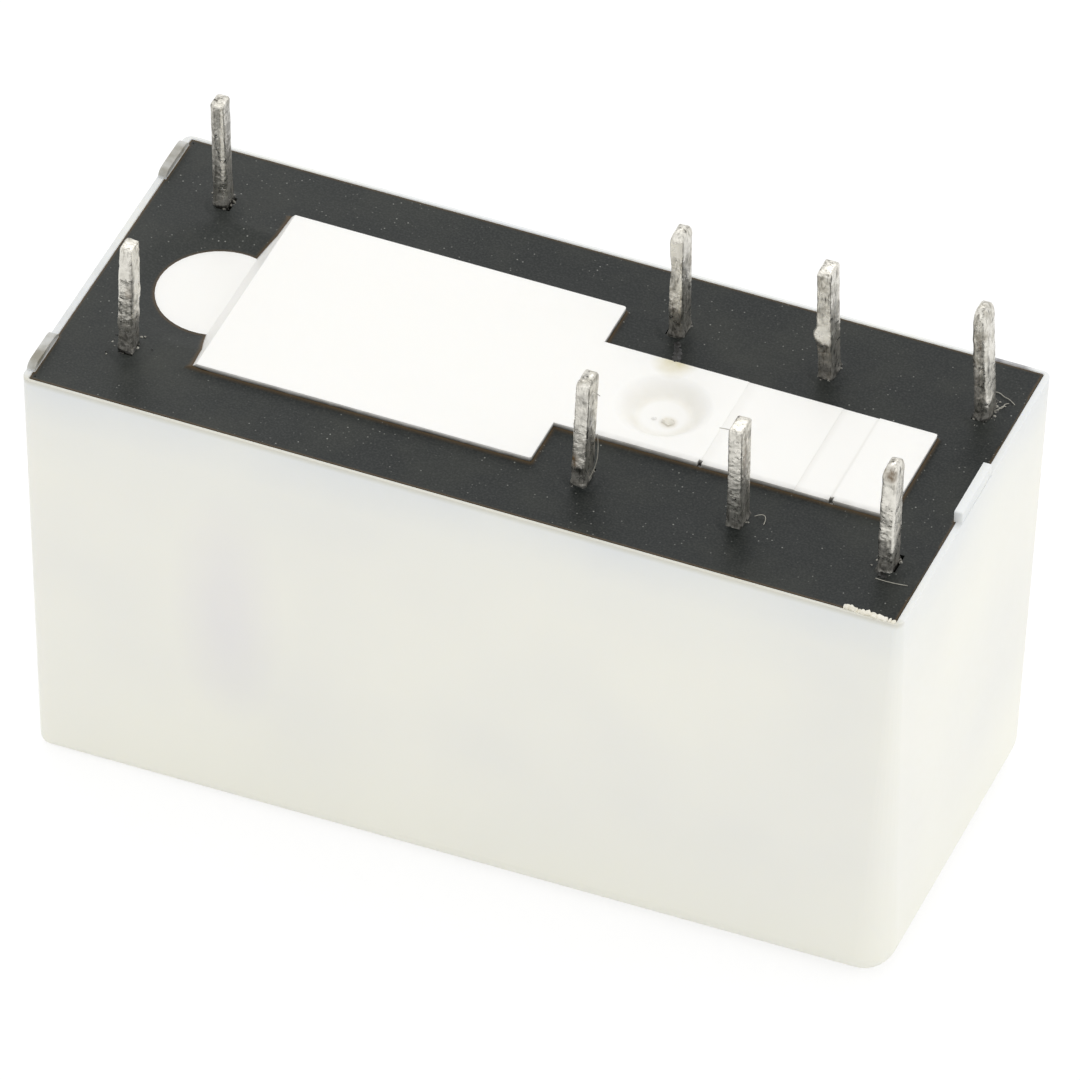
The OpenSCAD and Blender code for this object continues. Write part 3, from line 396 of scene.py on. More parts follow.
def white_base_pbt(settings):
    """Moulded PBT, whiter than the cap: satin top, sides grey-brown where thin potting climbed them, painted shade
    in the dish and at the parting steps.
    """
    material, tree, shader, place = blank("Moulded white PBT base")
    along, across, height = add(tree, "SeparateXYZ", {0: place}).outputs
    ragged = add(tree, "TexNoise", {"Vector": place, "Scale": per_mm(0.6), "Detail": 4.0})
    # Film of potting on a pad's side: dark at the foot, gone near the top edge, ragged by 0.05 mm
    over = add(tree, "Math", {0: ragged, 1: -0.1 * MM, 2: height}, operation="MULTIPLY_ADD")
    film = add(tree, "MapRange", {0: over, 1: SEAL_Z + 0.02 * MM, 2: PAD_Z - 0.01 * MM, 3: 1.0, 4: 0.0},
               interpolation_type="SMOOTHSTEP")
    facing = add(tree, "SeparateXYZ", {0: add(tree, "NewGeometry").outputs["Normal"]})
    upright = add(tree, "MapRange", {0: facing.outputs["Z"], 1: 0.3, 2: 0.65, 3: 1.0, 4: 0.0})
    dish = add(tree, "VectorMath", {0: place, 1: (*DIMPLE, PAD_Z)}, operation="DISTANCE")
    clear = add(tree, "Math", {0: dish, 1: DIMPLE_R}, operation="GREATER_THAN")
    # Grey bleed of the film on the strip's near edge
    bleed = add(tree, "MapRange", {0: across, 1: -1.8 * MM, 2: -2.05 * MM, 4: 0.7})
    strip = add(tree, "Math", {0: along, 1: 2.3 * MM}, operation="GREATER_THAN")
    # Yellow-brown flux that ran from the far break pin on to the strip's edge
    drip_end = (3.75 * MM, 2.05 * MM, PAD_Z)
    away = add(tree, "VectorMath", {0: place, 1: drip_end}, operation="DISTANCE")
    flux = add(tree, "MapRange", {0: away, 1: 0.8 * MM, 2: 0.1 * MM, 4: 1.1})
    # Painted tan shade round the foot of the dish, and painted tan shadow beside the stub
    rise = add(tree, "MapRange", {0: dish, 1: DIMPLE_R - 0.2 * MM, 2: 1.0 * MM, 4: 0.4})
    fall = add(tree, "MapRange", {0: dish, 1: 0.8 * MM, 2: 0.95 * MM})
    foot = add(tree, "Math", {0: rise, 1: fall}, operation="MULTIPLY")
    stub = add(tree, "VectorMath", {0: place, 1: (*STUB, DISH_Z)}, operation="DISTANCE")
    stub = add(tree, "MapRange", {0: stub, 1: 0.34 * MM, 2: 0.14 * MM, 4: 0.8})
    painted_dish_shade = add(tree, "Math", {0: foot, 1: stub}, operation="MAXIMUM")
    # Brown on the faces that turn away along +y, such as the far edges' rounding
    back = add(tree, "MapRange", {0: facing.outputs["Y"], 1: 0.25, 2: 0.6, 4: 0.7})
    layers = [([film, upright, clear], "#3B3833"), ([bleed, strip, ragged], "#8E8B84"), ([flux, ragged], "#C4B467"),
              ([painted_dish_shade, ragged], "#D4CBB0"), ([back, clear], "#B98F58")]
    # Painted shade at the three parting steps across the strip, thin lines that fade towards the contact end
    for start, strength, fade in ((6.22, 0.1, 0.5), (9.3, 0.12, 0.25), (10.44, 0.16, 0.12)):
        begun = add(tree, "MapRange", {0: along, 1: (start - 0.04) * MM, 2: start * MM})
        fading = add(tree, "MapRange", {0: along, 1: start * MM, 2: (start + fade) * MM, 3: strength, 4: 0.0},
                     interpolation_type="SMOOTHERSTEP")
        layers.append(([begun, fading], "#B9B6AC"))
    # A few dark specks of dirt, each about 0.05 mm
    cells = add(tree, "TexVoronoi", {"Vector": place, "Scale": per_mm(1.1)})
    pick = add(tree, "Math", {0: cells.outputs["Color"], 1: 0.86}, operation="GREATER_THAN")
    near = add(tree, "Math", {0: cells.outputs["Distance"], 1: 0.05}, operation="LESS_THAN")
    layers.append(([pick, near], "#8E897C"))
    colour = layered(tree, settings.base_colour, layers)
    # Spark texture of the mould, drawn at 0.3 mm so that it shows
    grain = add(tree, "TexNoise", {"Vector": place, "Scale": per_mm(0.3), "Detail": 3.0})
    rough = add(tree, "MapRange", {0: grain, 1: 0.3, 2: 0.7, 3: 0.35, 4: 0.5})
    bump = add(tree, "Bump", {"Strength": 0.15, "Distance": 0.01 * MM, "Height": grain})
    fill(tree, shader, {"Base Color": colour, "Roughness": rough, "Normal": bump, "IOR": 1.55,
                        "Subsurface Weight": 0.2, "Subsurface Radius": (1.0, 0.95, 0.85),
                        "Subsurface Scale": 0.4 * MM})
    return material


def cast_epoxy(settings):
    """Black epoxy poured and cured: dull gloss, grey smears, fine pale dust, brown where it thins out."""
    material, tree, shader, place = blank("Cast black epoxy")
    smear = add(tree, "TexNoise", {"Vector": place, "Scale": per_mm(2.6), "Detail": 5.0, "Roughness": 0.6})
    grey = add(tree, "MapRange", {0: smear, 1: 0.45, 2: 0.8, 4: 0.35})
    # Fine grain of the filler, drawn at 0.07 mm so that it shows
    filler = add(tree, "TexNoise", {"Vector": place, "Scale": per_mm(0.07), "Detail": 3.0})
    filler = add(tree, "MapRange", {0: filler, 1: 0.42, 2: 0.75, 4: 0.22})
    # Greyer towards the coil end, where the dust is thicker
    along = add(tree, "SeparateXYZ", {0: place}).outputs["X"]
    coil_end = add(tree, "MapRange", {0: along, 1: -2.0 * MM, 2: -12.0 * MM, 4: 0.09})
    # Dust: one pale grain in some cells of 0.19 mm, in drifts, drawn at 0.03 mm so that it shows
    cells = add(tree, "TexVoronoi", {"Vector": place, "Scale": per_mm(0.19)})
    drift = add(tree, "TexNoise", {"Vector": place, "Scale": per_mm(1.6), "Detail": 2.0})
    thick = add(tree, "MapRange", {0: drift, 1: 0.42, 2: 0.62, 3: 0.15, 4: 1.0})
    chance = add(tree, "SeparateColor", {0: cells.outputs["Color"]})
    pick = add(tree, "MapRange", {0: chance.outputs["Red"], 1: 0.25, 2: 1.0})
    near = add(tree, "MapRange", {0: cells.outputs["Distance"], 1: 0.05, 2: 0.17, 3: 1.0, 4: 0.0})
    # Brown where the potting thins out against a wall
    fringe = add(tree, "Attribute", attribute_name="fringe").outputs["Fac"]
    thin = add(tree, "MapRange", {0: fringe, 1: 0.3, 2: 1.0, 4: 0.8})
    colour = layered(tree, settings.potting_colour, (
        ([grey], "#55564F"), ([filler], "#5A5C58"), ([coil_end], "#6A6C68"), ([pick, near, thick], "#9FA09A"),
        ([thin], "#604C30")))
    rough = add(tree, "MapRange", {0: smear, 1: 0.3, 2: 0.75, 3: 0.3, 4: 0.55})
    pits = add(tree, "TexNoise", {"Vector": place, "Scale": per_mm(0.5), "Detail": 4.0})
    bump = add(tree, "Bump", {"Strength": 0.25, "Distance": 0.02 * MM, "Height": pits})
    fill(tree, shader, {"Base Color": colour, "Roughness": rough, "Normal": bump, "IOR": 1.54,
                        "Specular IOR Level": 0.16})
    return material


def tinned_strip(settings):
    """Copper alloy strip with old tin-lead solder: dull tin, darker streaks drawn down it, pits, flux stains, and
    stripes of painted shade, reflection and highlight.
    """
    material, tree, shader, place = blank("Tinned strip with old solder")
    # Per point: burnt flux and painted shade and reflection, brown stain, clean solder and painted highlights
    wear = add(tree, "Attribute", attribute_name="wear").outputs["Color"]
    burnt, brown, clean_and_painted_highlight = add(tree, "SeparateColor", {0: wear}).outputs
    blotch = add(tree, "TexNoise", {"Vector": place, "Scale": per_mm(0.3), "Detail": 5.0, "Roughness": 0.62,
                                    "Distortion": 0.8})
    oxide = add(tree, "MapRange", {0: blotch, 1: 0.45, 2: 0.7, 4: 0.8})
    oxide = add(tree, "Math", {0: oxide, 1: clean_and_painted_highlight}, operation="SUBTRACT", use_clamp=True)
    # Streaks that froze in as the solder drained, 0.1 mm wide and four times as long
    drawn = add(tree, "Mapping", {"Vector": place, "Scale": (1.0, 1.0, 0.25)})
    streak = add(tree, "TexNoise", {"Vector": drawn, "Scale": per_mm(0.1), "Detail": 3.0, "Distortion": 1.0})
    dull = add(tree, "MapRange", {0: streak, 1: 0.5, 2: 0.7, 4: 0.75})
    calm = add(tree, "MapRange", {0: clean_and_painted_highlight, 1: 0.0, 2: 0.8, 3: 1.0, 4: 0.15})
    # The solder bath never reached below the potting
    height = add(tree, "SeparateXYZ", {0: place}).outputs["Z"]
    reached = add(tree, "MapRange", {0: height, 1: SEAL_Z - 0.4 * MM, 2: SEAL_Z - 0.2 * MM, 3: 0.1, 4: 1.0})
    calm = add(tree, "Math", {0: calm, 1: reached}, operation="MULTIPLY")
    # Pits and laps in the skin, in half the cells of 0.22 mm
    cells = add(tree, "TexVoronoi", {"Vector": drawn, "Scale": per_mm(0.22)})
    pick = add(tree, "Math", {0: cells.outputs["Color"], 1: 0.5}, operation="GREATER_THAN")
    near = add(tree, "MapRange", {0: cells.outputs["Distance"], 1: 0.1, 2: 0.26, 3: 0.9, 4: 0.0})
    # Flux and stains, with the stripes of painted shade and reflection, broken up at 0.18 mm, which also dull the
    # metal
    patch = add(tree, "TexNoise", {"Vector": place, "Scale": per_mm(0.18), "Detail": 4.0})
    broken = add(tree, "MapRange", {0: patch, 1: 0.35, 2: 0.6, 3: 0.45, 4: 1.0})
    flux = add(tree, "Math", {0: burnt, 1: broken}, operation="MULTIPLY")
    stain = add(tree, "Math", {0: brown, 1: broken}, operation="MULTIPLY")
    cover = add(tree, "Math", {0: flux, 1: stain}, operation="MAXIMUM")
    colour = layered(tree, settings.solder_colour, (
        ([oxide], "#A19C8F"), ([dull, calm], "#5A564E"), ([pick, near, calm], "#3B3933"), ([flux], "#2F2E2A"),
        ([stain], "#5F4722")))
    rough = add(tree, "MapRange", {0: blotch, 1: 0.35, 2: 0.65, 3: 0.22, 4: 0.5})
    metal = add(tree, "MapRange", {0: cover, 1: 0.2, 2: 0.9, 3: 1.0, 4: 0.15})
    bump = add(tree, "Bump", {"Strength": 0.8, "Distance": 0.04 * MM, "Height": patch})
    fill(tree, shader, {"Base Color": colour, "Roughness": rough, "Metallic": metal, "Normal": bump})
    return material


def flux_residue(name, dry):
    """Burnt flux and epoxy crumbs: near black, part glossy, pale where they have dried out."""
    material, tree, shader, place = blank(name)
    tone = add(tree, "TexNoise", {"Vector": place, "Scale": per_mm(0.16), "Detail": 4.0})
    pale = add(tree, "MapRange", {0: tone, 1: 0.46, 2: 0.6, 4: dry})
    rough = add(tree, "MapRange", {0: tone, 1: 0.3, 2: 0.7, 3: 0.2, 4: 0.6})
    bump = add(tree, "Bump", {"Strength": 0.6, "Distance": 0.03 * MM, "Height": tone})
    colour = layered(tree, srgb("#171614"), [([pale], "#B5B2A7")])
    fill(tree, shader, {"Base Color": colour, "Roughness": rough, "Normal": bump})
    return material


def torn_shreds(name, dark, light):
    """Lint or torn flash: matt, pale and uneven in tone."""
    material, tree, shader, place = blank(name)
    tone = add(tree, "TexNoise", {"Vector": place, "Scale": per_mm(0.2), "Detail": 3.0})
    fill(tree, shader, {"Base Color": layered(tree, srgb(dark), [([tone], light)]), "Roughness": 0.7})
    return material


def inner_plastic(name, light, dark, rough):
    """Moulded nylon inside the case: satin with faint flow marks."""
    material, tree, shader, place = blank(name)
    flow = add(tree, "TexNoise", {"Vector": place, "Scale": per_mm(3), "Detail": 3.0, "Distortion": 1.0})
    # Spark texture of the mould, drawn at 0.3 mm so that it shows
    grain = add(tree, "TexNoise", {"Vector": place, "Scale": per_mm(0.3), "Detail": 2.0})
    bump = add(tree, "Bump", {"Strength": 0.2, "Distance": 0.02 * MM, "Height": grain})
    colour = layered(tree, srgb(light), [([flow], dark)])
    fill(tree, shader, {"Base Color": colour, "Normal": bump, "Roughness": rough, "IOR": 1.53})
    return material


def enamelled_copper():
    """Copper wire under clear enamel, wound tight: glossy ribs, warm brown in the gaps."""
    material, tree, shader, place = blank("Enamelled copper wire")
    # Turns of 0.12 mm wire, drawn 0.75 mm apart so that they show: a band takes 2 pi of the wave's 20 per unit
    ribs = add(tree, "TexWave", {"Vector": place, "Scale": per_mm(0.12) / 20, "Distortion": 0.4, "Detail": 1.0},
               bands_direction="X").outputs["Fac"]
    tone = add(tree, "TexNoise", {"Vector": place, "Scale": per_mm(2), "Detail": 2.0})
    bump = add(tree, "Bump", {"Strength": 0.8, "Distance": 0.05 * MM, "Height": ribs})
    colour = layered(tree, srgb("#B5672F"), [([tone], "#8A4520")])
    fill(tree, shader, {"Base Color": colour, "Normal": bump, "Metallic": 0.9, "Roughness": 0.3, "Coat Weight": 0.5})
    return material


def rolled_metal(name, light, dark, rough):
    """Rolled or turned metal inside the case: fine lay lines and a slightly uneven shine."""
    material, tree, shader, place = blank(name)
    # Lay lines six times as long as wide, drawn at 0.13 mm so that they show
    turned = add(tree, "Mapping", {"Vector": place, "Scale": (1.0, 6.0, 1.0)})
    lines = add(tree, "TexNoise", {"Vector": turned, "Scale": per_mm(0.8), "Detail": 4.0})
    shine = add(tree, "MapRange", {0: lines, 1: 0.3, 2: 0.7, 3: rough, 4: rough + 0.18})
    bump = add(tree, "Bump", {"Strength": 0.15, "Distance": 0.01 * MM, "Height": lines})
    colour = layered(tree, srgb(light), [([lines], dark)])
    fill(tree, shader, {"Base Color": colour, "Roughness": shine, "Normal": bump, "Metallic": 1.0})
    return material


def potting_level(place):
    """Height of the potting's skin at a place: level, but for the hollow round the tongue."""
    away = (place.xy - TONGUE).length / SINK_R
    return SEAL_Z - SINK_DEPTH * max(0.0, 1 - away * away)


def grow(bm, edges):
    """Extrudes a ring of edges where it lies: the new edges, and the old point under each new one."""
    old = {v for e in edges for v in e.verts}
    made = bmesh.ops.extrude_edge_only(bm, edges=edges)["geom"]
    fresh = [g for g in made if isinstance(g, bmesh.types.BMVert)]
    under = {v: next(e.other_vert(v) for e in v.link_edges if e.other_vert(v) in old) for v in fresh}
    ring = [g for g in made if isinstance(g, bmesh.types.BMEdge) and all(v in under for v in g.verts)]
    return ring, under


def crumb(bm, place, size, seed):
    """Adds an uneven crumb, half sizes given along x, y and z."""
    made = bmesh.ops.create_icosphere(bm, subdivisions=2, radius=1.0)["verts"]
    shift = Vector((seed, seed * 0.7, 0.0))
    for v in made:
        v.co *= 1 + 0.5 * noise.noise(v.co * 1.4 + shift)
        v.co = Vector((v.co.x * size[0], v.co.y * size[1], v.co.z * size[2])) + place


def merged_copy(name):
    """Mesh of a CAD node with its loose triangles joined."""
    bm = bmesh.new()
    bm.from_mesh(NODES[name].data)
    bmesh.ops.remove_doubles(bm, verts=bm.verts, dist=1e-7)
    bm.normal_update()
    return bm


def finish_piece(name, bm, material, replaced=(), smooth=40):
    """Turns a bmesh into a shown piece that rides on the housing."""
    mesh = bpy.data.meshes.new(name)
    bm.to_mesh(mesh)
    bm.free()
    piece = bpy.data.objects.new(name, mesh)
    bpy.context.scene.collection.objects.link(piece)
    mesh.materials.append(material)
    # Normals that came with the solid no longer fit, and would hide the sharp edges
    carried = mesh.attributes.get("custom_normal")
    if carried:
        mesh.attributes.remove(carried)
    mesh.polygons.foreach_set("use_smooth", [True] * len(mesh.polygons))
    mesh.set_sharp_from_angle(angle=math.radians(smooth))
    even = piece.modifiers.new("Even shading", "WEIGHTED_NORMAL")
    even.keep_sharp = True
    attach(piece, HOUSING)
    if replaced:
        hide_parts(*replaced)


def sharp_edges(bm, test, angle=25):
    """Outward edges that pass a test on their middle and are sharper than an angle."""
    found = []
    for edge in bm.edges:
        if len(edge.link_faces) == 2 and edge.calc_face_angle_signed(0.0) > math.radians(angle):
            if test((edge.verts[0].co + edge.verts[1].co) / 2):
                found.append(edge)
    return found


def soften(bm, edges, width, segments):
    """Rounds edges, and leaves alone what is too narrow for the rounding."""
    bmesh.ops.bevel(bm, geom=edges, offset=width, offset_type="OFFSET", segments=segments, profile=0.5,
                    affect="EDGES", clamp_overlap=True, material=-1)


class RELAY_OT_cap(bpy.types.Operator):
    """Moulds the cap: the solid with smooth corners, a rim past its sharpness and rubbed feet"""

    bl_idname = "relay.cap"
    bl_label = "Cap"

    def execute(self, context):
        settings = context.scene.relay_case
        bm = merged_copy("cap")
        for v in bm.verts:
            if self.on_rubbed_foot(v.co):
                v.co.z = RIM_Z + (v.co.z - RIM_Z) * RUBBED
        bm.normal_update()
        soften(bm, sharp_edges(bm, self.on_rubbed_foot), 0.1 * MM, 3)
        soften(bm, sharp_edges(bm, lambda p: p.z > RIM_Z - 0.05 * MM), settings.rim_soften, 2)
        finish_piece("cap_moulding", bm, white_cap_pbt(settings), ["cap"])
        return {"FINISHED"}

    def on_rubbed_foot(self, place):
        """Whether a place is on top of a foot at the coil end."""
        return place.x < COIL_FEET_X and place.z > RIM_Z + 0.05 * MM


class RELAY_OT_base(bpy.types.Operator):
    """Moulds the base: pad, strip and tongue with soft edges, and a dished gate with its torn stub"""

    bl_idname = "relay.base"
    bl_label = "Base"

    def execute(self, context):
        settings = context.scene.relay_case
        bm = merged_copy("base")
        soften(bm, sharp_edges(bm, lambda p: p.z > SEAL_Z and self.reach(p) > DIMPLE_R + 0.1 * MM),
               settings.pad_soften, 3)
        self.dish(bm)
        crumb(bm, Vector((*STUB, DISH_Z)), (0.2 * MM, 0.17 * MM, 0.12 * MM), 2.0)
        crumb(bm, Vector((*STUB_CHIP, DISH_Z)), (0.08 * MM, 0.07 * MM, 0.05 * MM), 5.0)
        finish_piece("base_moulding", bm, white_base_pbt(settings), ["base"])
        return {"FINISHED"}

    def reach(self, place):
        """How far a place is from the gate's middle, seen from above."""
        return (place.xy - DIMPLE).length

    def dish(self, bm):
        """Draws the dimple again as a dish whose side starts and ends gently."""
        middles = {f: f.calc_center_median() for f in bm.faces}
        cut = [f for f, middle in middles.items()
               if self.reach(middle) < DIMPLE_R - 0.005 * MM and middle.z > DISH_Z - 0.05 * MM]
        if not cut:
            raise RuntimeError("the base has no dimple")
        bmesh.ops.delete(bm, geom=cut, context="FACES")
        ring = [e for e in bm.edges
                if e.is_boundary and all(self.reach(v.co) < DIMPLE_R + 0.1 * MM for v in e.verts)]
        steps = 10
        for k in range(1, steps + 1):
            ring, under = grow(bm, ring)
            share = k / steps
            radius = DIMPLE_R - share * DISH_SIDE
            for v in under:
                v.co.xy = DIMPLE + (v.co.xy - DIMPLE).normalized() * radius
                v.co.z = PAD_Z - DIMPLE_DEPTH * share * share * (3 - 2 * share)
        bmesh.ops.contextual_create(bm, geom=ring)


class RELAY_OT_potting(bpy.types.Operator):
    """Pours the potting: sunk round the tongue, creeping up at every wall and thin and brown there"""

    bl_idname = "relay.potting"
    bl_label = "Potting"

    def execute(self, context):
        settings = context.scene.relay_case
        bm = merged_copy("epoxy_seal")
        fringe = bm.verts.layers.float.new("fringe")
        top = [f for f in bm.faces if self.is_top(f)]
        if not top:
            raise RuntimeError("the potting has no top")
        bmesh.ops.delete(bm, geom=top, context="FACES")
        edges = self.outline(bm)
        inward = self.inward(edges)
        # Narrow rings run along every wall, and the rest is filled between them
        for width, lift, tint in ((0.05, 1.0, 1.0), (0.09, 0.5, 0.55), (0.14, 0.15, 0.2)):
            wall = {v for e in edges for v in e.verts}
            edges, under = grow(bm, edges)
            for v, old in under.items():
                v.co += inward[old] * width * MM
                v.co.z = potting_level(v.co)
                inward[v] = inward[old]
            for v in wall:
                self.creep(v, lift * settings.creep)
                v[fringe] = tint * self.climb(v.co)[1]
        self.skin(bm, edges)
        finish_piece("potting", bm, cast_epoxy(settings), ["epoxy_seal"], 60)
        return {"FINISHED"}

    def is_top(self, face):
        """Whether a face is part of the poured skin, level or in the hollow."""
        middle = face.calc_center_median()
        if (middle.xy - TONGUE).length < SINK_R and SEAL_Z - 0.5 * MM < middle.z < SEAL_Z:
            return face.normal.z > 0.8
        return face.normal.z > 0.99 and abs(middle.z - SEAL_Z) < 0.01 * MM

    def outline(self, bm):
        """Edges left open round the skin, with plain corners in the mouth and no long runs."""
        bmesh.ops.delete(bm, geom=[e for e in bm.edges if e.is_wire], context="EDGES")
        rim = {v for e in bm.edges if e.is_boundary for v in e.verts}
        for sx in (-1, 1):
            for sy in (-1, 1):
                corner = max(rim, key=lambda v: sx * v.co.x + sy * v.co.y)
                near = [v for v in rim if (v.co - corner.co).length < 0.12 * MM]
                rim -= set(near)
                bmesh.ops.pointmerge(bm, verts=near, merge_co=corner.co)
        bmesh.ops.dissolve_degenerate(bm, dist=1e-7, edges=bm.edges)
        # Edges over 0.4 mm are cut by as many cuts as leave parts under 0.5 mm
        for cuts in (1, 2, 5, 11, 23):
            lengths = {e: e.calc_length() for e in bm.edges if e.is_boundary}
            long = [e for e, size in lengths.items() if size > 0.4 * MM and size / (cuts + 1) < 0.5 * MM]
            bmesh.ops.bisect_edges(bm, edges=long, cuts=cuts)
        return [e for e in bm.edges if e.is_boundary]

    def inward(self, edges):
        """For each point of the outline, the way into the skin, longer where the outline turns."""
        ways = {}
        for edge in edges:
            loop = edge.link_loops[0]
            along = loop.vert.co - loop.link_loop_next.vert.co
            along = Vector((along.x, along.y, 0.0)).normalized()
            for v in edge.verts:
                ways.setdefault(v, []).append(Vector((-along.y, along.x, 0.0)))
        turned = {}
        for v, sides in ways.items():
            mean = sum(sides, Vector((0.0, 0.0, 0.0))).normalized()
            narrow = 1.0
            if self.at_rim(v.co):
                # Along the rim the rings stay clear of the collars round the end pins
                narrow = 0.4 if self.from_pin(v.co) < 1.6 * MM else 0.8
            turned[v] = mean / max(0.5, mean.dot(sides[0])) * narrow
        return turned

    def at_rim(self, place):
        """Whether a place on the outline lies along the rim."""
        return abs(place.x) > MOUTH_X or abs(place.y) > MOUTH_Y

    def from_pin(self, place):
        """How far a place is from the nearest pin's axis, seen from above."""
        return min((place.xy - pin).length for pin in PIN_AXES.values())

    def creep(self, vert, lift):
        """Raises a point of the outline, up the slope where the pad slopes."""
        x, y = vert.co.x / MM, abs(vert.co.y) / MM
        rise = lift * self.climb(vert.co)[0]
        vert.co.z = potting_level(vert.co) + rise
        if SLOPE_X[0] < x < SLOPE_X[1] and SLOPE_Y[0] < y < SLOPE_Y[1]:
            vert.co.x += rise

    def climb(self, place):
        """Share of the creep, and of the brown film, at a place on the outline."""
        x, y = place.x / MM, abs(place.y) / MM
        if self.from_pin(place) < COLLAR_R:
            return 0.0, 0.0
        if self.at_rim(place):
            return 0.15, 1.0
        if (place.xy - TONGUE).length < TONGUE_R + 0.15 * MM and x < -10.3:
            return 0.2, 1.0
        if x < SLOPE_X[1]:
            # Most at the outer end of the pad's slope, 1.85 mm out from the tongue's side
            return 0.4 + 1.2 * min(1.0, max(0.0, y - TONGUE_R / MM) / 1.85) ** 2, 1.0
        return 1.0, 1.0

    def skin(self, bm, edges):
        """Fills the skin, and cuts it finely enough over the hollow to follow it."""
        new = bmesh.ops.triangle_fill(bm, edges=edges, use_beauty=True, normal=(0.0, 0.0, 1.0))["geom"]
        # Faces of the skin are marked by a second material while they are cut every 0.5 mm round the tongue
        for f in new:
            if isinstance(f, bmesh.types.BMFace):
                f.material_index = 1
        for axis in (Vector((1.0, 0.0, 0.0)), Vector((0.0, 1.0, 0.0))):
            for k in range(-6, 7):
                faces = [f for f in bm.faces if f.material_index == 1]
                geom = {g for f in faces for g in (*f.verts, *f.edges)}
                spot = TONGUE.to_3d() + axis * k * 0.5 * MM
                bmesh.ops.bisect_plane(bm, geom=faces + list(geom), plane_co=spot, plane_no=axis, dist=1e-6)
        faces = [f for f in bm.faces if f.material_index == 1]
        for v in {v for f in faces for v in f.verts}:
            v.co.z = potting_level(v.co)
        for f in faces:
            f.material_index = 0
        bmesh.ops.triangulate(bm, faces=[f for f in bm.faces if len(f.verts) > 4])


